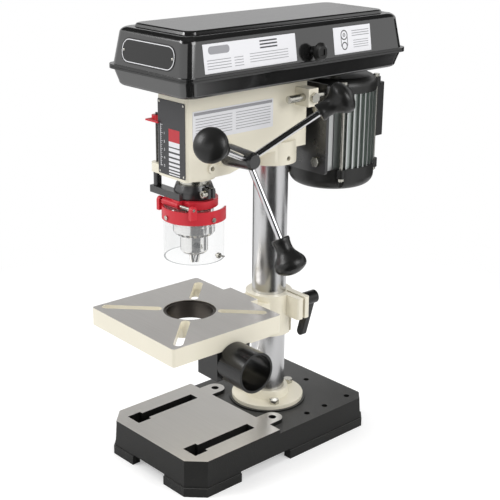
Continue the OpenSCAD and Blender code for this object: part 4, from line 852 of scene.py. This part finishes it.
def hinge_line():
    """Middles of the two hinges along Y, and the X and Z of their pins."""
    low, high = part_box("cover_hinge_pins")
    reach = cover().knuckle + cover().pin_end
    return (low.y + reach, high.y - reach), (low.x + high.x) / 2, (low.z + high.z) / 2


def hinge_leaf(start, end, foot):
    """Rolled knuckle between two places along Y, with the leaf that joins it to the lip."""
    size = cover()
    _, x, z = hinge_line()
    middle = (start + end) / 2
    fresh_start()
    bpy.ops.mesh.primitive_cylinder_add(
        radius=size.knuckle_radius, depth=end - start, vertices=KNUCKLE_SIDES, end_fill_type="NOTHING",
        location=(x, middle, z), rotation=(math.pi / 2, 0, 0)
    )
    knuckle = settle("knuckle")
    finish_with(knuckle, "SOLIDIFY", thickness=size.knuckle_radius - size.pin_radius, offset=-1)
    edge = -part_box("pulley_cover")[1].x
    fresh_start()
    bpy.ops.mesh.primitive_cube_add(size=1, location=((x + edge) / 2, middle, foot + size.lip_height / 2))
    bpy.context.object.scale = (edge - x + size.lip / 2, end - start, size.lip_height)
    return join([knuckle, settle("leaf")], "hinge_leaf")


def floor_hole(y, slide, radius, height):
    """Upright tool for a round hole, drawn out towards the front by a slide."""
    fresh_start()
    bpy.ops.mesh.primitive_cylinder_add(
        radius=radius, depth=TOOL_DEPTH * cover().wall, vertices=HOLE_SIDES, location=(0, y, height)
    )
    tool = settle("hole_tool")
    bpy.ops.object.mode_set(mode="EDIT")
    pick(lambda edge: all(corner.co.y < y - NEAR for corner in edge.verts), "EDGE")
    bpy.ops.transform.translate(value=(0, -slide, 0))
    bpy.ops.object.mode_set(mode="OBJECT")
    return tool


def model_lid():
    """Lid: turned lip, drawn sides, round shoulder and a raised panel."""
    size = cover()
    hinges, _, seam = hinge_line()
    foot = seam + size.seam / 2
    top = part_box("pulley_cover")[1].z
    shoulder = top - size.panel_height
    panel = size.panel_inset + size.panel_draft
    rings = [(0, foot), (0, foot + size.lip_height), (size.lip, foot + size.lip_height)]
    rings += [(size.lid_draft, shoulder - size.shoulder)]
    rings += arc(rings[-1], (size.lid_draft + size.shoulder, shoulder))
    rings += [(size.panel_inset, shoulder), (panel - size.panel_round, top - size.panel_round)]
    rings += arc(rings[-1], (panel + size.panel_round, top))
    parts = [pressing("lid_pressing", rings)]
    for y in hinges:
        near = y - size.knuckle - size.seam
        parts.append(hinge_leaf(near, near + size.knuckle / 2, foot))
        parts.append(hinge_leaf(y + size.knuckle / 2 + size.seam, y + size.knuckle + size.seam, foot))
    return join(parts, "lid_pressing")


def model_tray():
    """Tray: turned lip, drawn sides and a floor with its spindle and motor holes."""
    size = cover()
    hinges, _, seam = hinge_line()
    rim = seam - size.seam / 2
    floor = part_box("tray_screws")[1].z - size.screw_height - size.wall
    rings = [(0, rim), (0, rim - size.lip_height), (size.lip, rim - size.lip_height)]
    rings += [(size.tray_draft, floor + size.tray_round)]
    rings += arc(rings[-1], (size.tray_draft + size.tray_round, floor))
    tray = pressing("tray_pressing", rings)
    spindle = centre("spindle")
    motor = centre("motor_shaft")
    cut(tray, floor_hole(spindle.y, 0, size.spindle_hole / 2, floor + size.wall / 2))
    cut(tray, floor_hole(motor.y, size.motor_slide, size.motor_hole / 2, floor + size.wall / 2))
    parts = [tray]
    parts += [hinge_leaf(y - size.knuckle / 2, y + size.knuckle / 2, rim - size.lip_height) for y in hinges]
    return join(parts, "tray_pressing")


class DRILLPRESS_OT_cover(bpy.types.Operator):
    """Model the lid and the tray of the belt cover as sheet-metal pressings"""

    bl_idname = "drillpress.cover"
    bl_label = "Model the belt cover"

    def execute(self, context):
        for model, name in ((model_lid, "pulley_cover"), (model_tray, "pulley_tray")):
            piece = model()
            round_edges(piece, COVER_EDGE)
            dress(piece, name)
            paint(piece, finish(SLOT_OF[name]))
        return {"FINISHED"}


# Plates

# Sizes in millimetres, least angle of a rounded edge in degrees, flatness of a rivet, sides of round shapes
PLATE_THICK = 0.5
PLATE_EDGE = 0.12
PLATE_ANGLE = 60
LABEL_CORNER = 0.8
INK_THICK = 0.04
RIVET_RADIUS = 1.6
RIVET_FLAT = 0.4
RIVET_SIDES = 16
RIVET_RINGS = 8
RING_SIDES = 40
HEAD_HALF_WIDTH = 28
LID_PLATES_UP = 19

# Depth scale: its plate, zero and figures, then rule and ticks as x, drop below zero, width and height, with
# pitch and count for ticks, and the red block with the top and foot of each bar below it
SCALE_SIZE = (51, 92)
SCALE_CORNER = 1.5
SCALE_RIVET = 3
SCALE_DROP = 3.2
SCALE_ZERO = 14.7
SCALE_PITCH = 10
SCALE_FIGURES = 5
FIGURE_X = -13.6
FIGURE_HEIGHT = 4.6
SCALE_RULE = (-20.5, 25, 0.7, 52)
SCALE_TICKS = [(-18.6, 0, 3.6, 0.6, 10, 6), (-19.2, 5, 2.2, 0.5, 10, 5), (-19.6, 2.5, 1.4, 0.35, 2.5, 19)]
SCALE_BLOCK = (5.1, 4.2, 20.4, 15.4)
SCALE_BARS = [
    (0, 6.2), (7.7, 12.1), (14.3, 18.4), (20.5, 24.3), (26.3, 29.5), (31.4, 34.1), (35.8, 37.8), (39.5, 41)
]

# White plates: size, place, and print as x, y, width and height, with pitch and count for lines
DATA_SIZE = (145, 33)
DATA_Y = -55.5
DATA_PATCH = (-49, 9, 32, 9)
PATCH_CORNER = 4
DATA_TITLE = (28, 12.5, 28, 1.7, 3.8, 3)
DATA_LINES = [(-50, -2, 36, 0.9, 3.2, 4), (-20, -2, 14, 0.9, 3.2, 4), (28, -0.5, 62, 0.8, 3.1, 4)]
BELT_SIZE = (68, 33)
BELT_Y = 117
BELT_RUNS = [(-20.7, -0.4, 0.9, 13.6), (-9.4, -0.4, 0.9, 13.6)]
BELT_LINES = [(15, 10.5, 32, 1.0, 3.0, 3), (15, -1.5, 28, 0.8, 2.8, 4)]
NOTICE_SIZE = (131, 36)
NOTICE_Y = -44.5
NOTICE_DROP = 42
NOTICE_BAR = (0, 14.6, 127, 3.6)
BAR_CORNER = 0.4
NOTICE_LINES = [(-32, 8.5, 58, 0.8, 3.4, 7), (32, 8.5, 58, 0.8, 3.4, 7)]

# Rings of the belt diagram: x, y, radius and width
BELT_RINGS = [(-15, 6.5, 6.2, 1.3), (-15, -7, 5.0, 1.3), (-15, 6.5, 2.2, 1.0)]

# Badge: size, inset of its border, width of the border, inset of its rivets and depth of the cutting tool
BADGE_SIZE = (100, 30)
BADGE_MARGIN = 3
BADGE_BORDER = 1.0
BADGE_RIVET = 5
BADGE_TOOL = 2


def ink(x, y, width, height, material, corner=0.0):
    """Printed patch that lies on a plate."""
    patch = sheet(x, y, width, height, PLATE_THICK, INK_THICK, corner)
    paint(patch, material)
    return patch


def ruled(x, y, width, height, pitch, count, material):
    """Printed lines that stand in for text, one under the other."""
    lines = ink(x, y, width, height, material)
    finish_with(
        lines, "ARRAY", count=count, use_relative_offset=False, use_constant_offset=True,
        constant_offset_displace=(0, -pitch * MM, 0)
    )
    return lines


def ring(x, y, radius, width, material):
    """Printed ring."""
    fresh_start()
    bpy.ops.mesh.primitive_circle_add(
        vertices=RING_SIDES, radius=radius * MM, fill_type="NGON", location=(x * MM, y * MM, PLATE_THICK * MM)
    )
    piece = settle("ring")
    edit_all()
    bpy.ops.mesh.inset(thickness=width * MM)
    bpy.ops.mesh.delete(type="FACE")
    bpy.ops.mesh.select_all(action="SELECT")
    bpy.ops.mesh.extrude_region_move(TRANSFORM_OT_translate={"value": (0, 0, INK_THICK * MM)})
    bpy.ops.object.mode_set(mode="OBJECT")
    paint(piece, material)
    return piece


def figure(text, x, y, height, material):
    """Printed figure of a scale, centred at x, y."""
    fresh_start()
    bpy.ops.object.text_add(location=(x * MM, y * MM, PLATE_THICK * MM))
    letters = bpy.context.object.data
    letters.body = text
    letters.size = height * MM
    letters.extrude = INK_THICK * MM
    letters.align_x = "CENTER"
    letters.align_y = "CENTER"
    bpy.ops.object.convert(target="MESH")
    piece = settle("figure")
    paint(piece, material)
    return piece


def rivet(x, y):
    """Domed rivet through a plate."""
    fresh_start()
    bpy.ops.mesh.primitive_uv_sphere_add(
        segments=RIVET_SIDES, ring_count=RIVET_RINGS, radius=RIVET_RADIUS * MM,
        location=(x * MM, y * MM, PLATE_THICK * MM)
    )
    bpy.context.object.scale = (1, 1, RIVET_FLAT)
    piece = settle("rivet")
    bpy.ops.object.mode_set(mode="EDIT")
    pick(lambda face: face.calc_center_median().z < PLATE_THICK * MM - NEAR)
    bpy.ops.mesh.delete(type="FACE")
    bpy.ops.object.mode_set(mode="OBJECT")
    bpy.ops.object.shade_smooth()
    paint(piece, finish("steel"))
    return piece


def mount_plate(name, place, body, parts):
    """Join a plate's parts, lay it on the machine and let it ride its body."""
    plate = join(parts, name)
    plate.matrix_world = place
    settle(name)
    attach(plate, body)


def blank(width, height, corner, material):
    """The bare plate itself, centred on its place."""
    piece = sheet(0, 0, width, height, 0, PLATE_THICK, corner)
    round_edges(piece, PLATE_EDGE, angle=PLATE_ANGLE)
    paint(piece, material)
    return piece


def corner_rivets(width, height, inset):
    """Rivets in the four corners of a plate."""
    return [rivet(x * (width / 2 - inset), y * (height / 2 - inset)) for x in (-1, 1) for y in (-1, 1)]


def lid_side(y, height):
    """Place on the lid's right side at a Y and a height up its slope, in millimetres."""
    size = cover()
    width, _, _ = cover_plan()
    seam = hinge_line()[2]
    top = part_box("pulley_cover")[1].z
    low = Vector((width / 2 - size.lip, 0, seam + size.seam / 2 + size.lip_height)) / MM
    high = Vector((width / 2 - size.lid_draft, 0, top - size.panel_height - size.shoulder)) / MM
    rise = (high - low).normalized()
    return plane_at(low + rise * height + Vector((0, y, 0)), (0, 1, 0), rise)


def lid_front(height):
    """Place in the middle of the lid's front at a height up its slope, in millimetres."""
    side = lid_side(0, height)
    ahead = side.translation.x - cover_plan()[0] / 2
    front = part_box("pulley_cover")[0].y - ahead
    rise = side.to_3x3().col[1]
    return plane_at((0, front / MM, side.translation.z / MM), (1, 0, 0), (0, -rise.x, rise.z))


def depth_scale():
    """Black scale plate on the head's front: ticks and figures beside a red block and tapering bars."""
    white = finish("plate")
    low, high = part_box("headstock")
    x, drop, width, height = SCALE_RULE
    parts = [blank(*SCALE_SIZE, SCALE_CORNER, finish("scale"))] + corner_rivets(*SCALE_SIZE, SCALE_RIVET)
    parts.append(ink(x, SCALE_ZERO - drop, width, height, white))
    parts += [ruled(x, SCALE_ZERO - drop, *lines, white) for x, drop, *lines in SCALE_TICKS]
    for i in range(1, SCALE_FIGURES + 1):
        parts.append(figure(str(i), FIGURE_X, SCALE_ZERO - SCALE_PITCH * i, FIGURE_HEIGHT, white))
    x, y, width, height = SCALE_BLOCK
    parts.append(ink(x, y, width, height, finish("scale_red")))
    for top, foot in SCALE_BARS:
        parts.append(ink(x, y - (height + top + foot) / 2, width, foot - top, white))
    middle = (low.z + high.z) / 2 / MM - SCALE_DROP
    mount_plate(
        "depth_scale", plane_at((0, low.y / MM, middle), (1, 0, 0), (0, 0, 1)), "stand", parts
    )


def label(size, lines):
    """White plate with its grey ruled lines."""
    parts = [blank(*size, LABEL_CORNER, finish("plate"))]
    return parts + [ruled(*line, finish("plate_grey")) for line in lines]


def data_plate():
    """White plate on the lid's side with a patch, a bolder title and three blocks of ruled lines."""
    parts = label(DATA_SIZE, DATA_LINES)
    parts.append(ink(*DATA_PATCH, finish("plate_grey"), PATCH_CORNER))
    parts.append(ruled(*DATA_TITLE, finish("plate_dark")))
    mount_plate("data_plate", lid_side(DATA_Y, LID_PLATES_UP), "lid", parts)


def belt_plate():
    """White plate on the lid's side with a belt diagram beside ruled lines."""
    parts = label(BELT_SIZE, BELT_LINES)
    parts += [ring(*place, finish("plate_dark")) for place in BELT_RINGS]
    parts += [ink(*run, finish("plate_dark")) for run in BELT_RUNS]
    mount_plate("belt_plate", lid_side(BELT_Y, LID_PLATES_UP), "lid", parts)


def notice_plate():
    """White plate on the head's right side with a grey bar over two blocks of ruled lines."""
    parts = label(NOTICE_SIZE, NOTICE_LINES)
    parts.append(ink(*NOTICE_BAR, finish("plate_grey"), BAR_CORNER))
    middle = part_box("headstock")[1].z / MM - NOTICE_DROP
    place = plane_at((HEAD_HALF_WIDTH, NOTICE_Y, middle), (0, 1, 0), (0, 0, 1))
    mount_plate("notice_plate", place, "stand", parts)


def badge():
    """Blank badge on the lid's front: a black plate with round ends, a pale border and two rivets."""
    wide, tall = BADGE_SIZE
    parts = [blank(wide, tall, (tall - BADGE_MARGIN) / 2, finish("badge"))]
    parts += [rivet(side * (wide / 2 - BADGE_RIVET), 0) for side in (-1, 1)]
    wide, tall, corner = wide - BADGE_MARGIN, tall - BADGE_MARGIN, tall / 2 - BADGE_MARGIN
    border = ink(0, 0, wide, tall, finish("plate"), corner)
    inside = sheet(
        0, 0, wide - 2 * BADGE_BORDER, tall - 2 * BADGE_BORDER, 0, BADGE_TOOL, corner - BADGE_BORDER
    )
    cut(border, inside)
    mount_plate("badge", lid_front(LID_PLATES_UP), "lid", parts + [border])


class DRILLPRESS_OT_plates(bpy.types.Operator):
    """Model the depth scale and the printed plates on the lid and the head"""

    bl_idname = "drillpress.plates"
    bl_label = "Model the plates"

    def execute(self, context):
        depth_scale()
        data_plate()
        belt_plate()
        badge()
        notice_plate()
        return {"FINISHED"}


# Stage

# Floor and reach of its shadow in metres, tones, light of the sky, and width of the sensor in millimetres
FLOOR_SIZE = 12
FLOOR_TONE = (0.8, 0.8, 0.8, 1)
FLOOR_GLOW = 0.35
SHADOW_REACH = 0.25
WHITE_REACH = 0.8
SKY_LIGHT = 0.55
CARD_TONE = (0.025, 0.025, 0.025, 1)
WHITE = (1, 1, 1, 1)
SENSOR = 36

# Cards that only mirrors see: turn from the camera, distance, height, tilt, width, length and glow, in
# degrees and metres
CARDS = [
    ("front card", 11, 0.9, 0.85, 54.7, 0.55, 2.08, 0),
    ("rear card", 138, 1.1, 0.32, 90, 1.4, 0.64, 0),
    ("left card", -158, 0.6, 0.1, 90, 0.4, 0.2, 0),
    ("side card", 98, 0.9, 0.003, 0, 0.4, 0.56, 0),
    ("ceiling card", 0, 0, 2.0, 0, 6, 6, 0),
    ("back card", 180, 2.0, 0.83, 90, 3.2, 0.26, 0.62),
]

# Softboxes: place, size and power in watts
LAMPS = [
    ("key softbox", (-1.1, -1.6, 1.7), 1.2, 26),
    ("side softbox", (2.0, 0.3, 1.5), 1.2, 20),
    ("top softbox", (0.0, 0.1, 2.2), 1.4, 16),
]
AIM = Vector((0, 0, 0.3))


def set_floor():
    """Pale floor that keeps the shadow near the machine and fades to white further out."""
    floor = rectangle("floor", FLOOR_SIZE, FLOOR_SIZE, (0, 0, 0))
    material, tree, shader = start_material("pale studio floor", {
        "Base Color": FLOOR_TONE, "Roughness": 0.9, "Specular IOR Level": 0.0
    })
    rays = node(tree, "LightPath")
    place = node(tree, "TexCoord")
    reach = node(tree, "VectorMath", {0: place.outputs["Object"]}, operation="LENGTH")
    far = node(tree, "MapRange", {
        "Value": reach.outputs["Value"], "From Min": SHADOW_REACH, "From Max": WHITE_REACH
    })
    glow = node(tree, "Emission", {"Color": WHITE, "Strength": FLOOR_GLOW})
    white = node(tree, "Emission", {"Color": WHITE, "Strength": 1.0})
    lit = node(tree, "AddShader", {0: shader.outputs[0], 1: glow.outputs[0]})
    faded = node(tree, "MixShader", {"Fac": far.outputs["Result"], 1: lit.outputs[0], 2: white.outputs[0]})
    seen = node(tree, "MixShader", {
        "Fac": rays.outputs["Is Camera Ray"], 1: shader.outputs[0], 2: faded.outputs[0]
    })
    tree.links.new(seen.outputs[0], tree.nodes["Material Output"].inputs["Surface"])
    paint(floor, material)


def set_cards():
    """Dark cards and a grey one round the bench, so that gloss and bright metal show bands between lights."""
    stage = studio()
    for name, turn, reach, height, tilt, width, length, glow in CARDS:
        material, _, _ = start_material(name, {
            "Base Color": CARD_TONE, "Roughness": 1.0, "Specular IOR Level": 0.0,
            "Emission Color": WHITE, "Emission Strength": glow
        })
        card = rectangle(name, width, length, (0, reach, height), math.radians(tilt))
        card.matrix_world = Matrix.Rotation(stage.azimuth + math.radians(turn) + math.pi, 4, "Z")
        settle(name)
        card.visible_camera = False
        card.visible_diffuse = False
        card.visible_shadow = False
        card.visible_transmission = False
        paint(card, material)


def set_sky():
    """White to the eye, to mirrors and through glass; a soft even light for the rest."""
    world = bpy.data.worlds.new("studio")
    bpy.context.scene.world = world
    world.use_nodes = True
    tree = world.node_tree
    rays = node(tree, "LightPath")
    seen = rays.outputs["Is Camera Ray"]
    for kind in ("Is Glossy Ray", "Is Transmission Ray"):
        seen = node(tree, "Math", {0: seen, 1: rays.outputs[kind]}, operation="MAXIMUM").outputs[0]
    strength = node(tree, "MapRange", {"Value": seen, "To Min": SKY_LIGHT, "To Max": 1.0})
    sky = tree.nodes["Background"]
    sky.inputs["Color"].default_value = WHITE
    tree.links.new(strength.outputs["Result"], sky.inputs["Strength"])


def set_lamps():
    """Three large softboxes round the bench."""
    for name, place, size, power in LAMPS:
        lamp = bpy.data.lights.new(name, "AREA")
        lamp.shape = "SQUARE"
        lamp.size = size
        lamp.energy = power
        holder = bpy.data.objects.new(name, lamp)
        holder.location = place
        holder.rotation_euler = (AIM - Vector(place)).to_track_quat("-Z", "Y").to_euler()
        bpy.context.scene.collection.objects.link(holder)


def set_camera():
    """Camera at the photographed angle."""
    stage = studio()
    flat = math.cos(stage.elevation)
    ahead = Vector((math.sin(stage.azimuth), -math.cos(stage.azimuth), 0))
    back = ahead * flat + Vector((0, 0, math.sin(stage.elevation)))
    lens = bpy.data.cameras.new("camera")
    lens.lens = stage.lens
    lens.sensor_width = SENSOR
    lens.sensor_fit = "HORIZONTAL"
    camera = bpy.data.objects.new("camera", lens)
    camera.location = Vector(stage.target) + back * stage.distance
    turn = (-back).to_track_quat("-Z", "Y").to_matrix() @ Matrix.Rotation(stage.roll, 3, "Z")
    camera.rotation_euler = turn.to_euler()
    bpy.context.scene.collection.objects.link(camera)
    bpy.context.scene.camera = camera


class DRILLPRESS_OT_stage(bpy.types.Operator):
    """Set the floor, the lights, the sky and the camera"""

    bl_idname = "drillpress.stage"
    bl_label = "Set the stage"

    def execute(self, context):
        set_floor()
        set_cards()
        set_sky()
        set_lamps()
        set_camera()
        context.scene.view_settings.view_transform = "Standard"
        return {"FINISHED"}


class DRILLPRESS_PT_panel(bpy.types.Panel):
    """Sizes, colours and pieces of the drill press"""

    bl_idname = "DRILLPRESS_PT_panel"
    bl_label = "Drill press"
    bl_space_type = "VIEW_3D"
    bl_region_type = "UI"
    bl_category = "Drill press"

    def draw(self, context):
        for group in (colours(), cover(), studio()):
            box = self.layout.box()
            for name in group.__annotations__:
                box.prop(group, name)
        for operator in OPERATORS:
            self.layout.operator(operator.bl_idname)


OPERATORS = [DRILLPRESS_OT_finishes, DRILLPRESS_OT_cover, DRILLPRESS_OT_plates, DRILLPRESS_OT_stage]
GROUPS = {
    "drill_press_colours": DrillPressColours,
    "drill_press_cover": DrillPressCover,
    "drill_press_stage": DrillPressStage,
}


def register():
    """Add the groups, operators and panel to Blender."""
    for kind in [*GROUPS.values(), *OPERATORS, DRILLPRESS_PT_panel]:
        bpy.utils.register_class(kind)
    for name, kind in GROUPS.items():
        setattr(bpy.types.Scene, name, bpy.props.PointerProperty(type=kind))


def unregister():
    """Remove them again."""
    for name in GROUPS:
        delattr(bpy.types.Scene, name)
    for kind in [DRILLPRESS_PT_panel, *OPERATORS, *GROUPS.values()]:
        bpy.utils.unregister_class(kind)


def main():
    """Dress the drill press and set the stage."""
    register()
    bpy.ops.drillpress.finishes()
    bpy.ops.drillpress.cover()
    bpy.ops.drillpress.plates()
    bpy.ops.drillpress.stage()


if __name__ == "__main__":
    main()
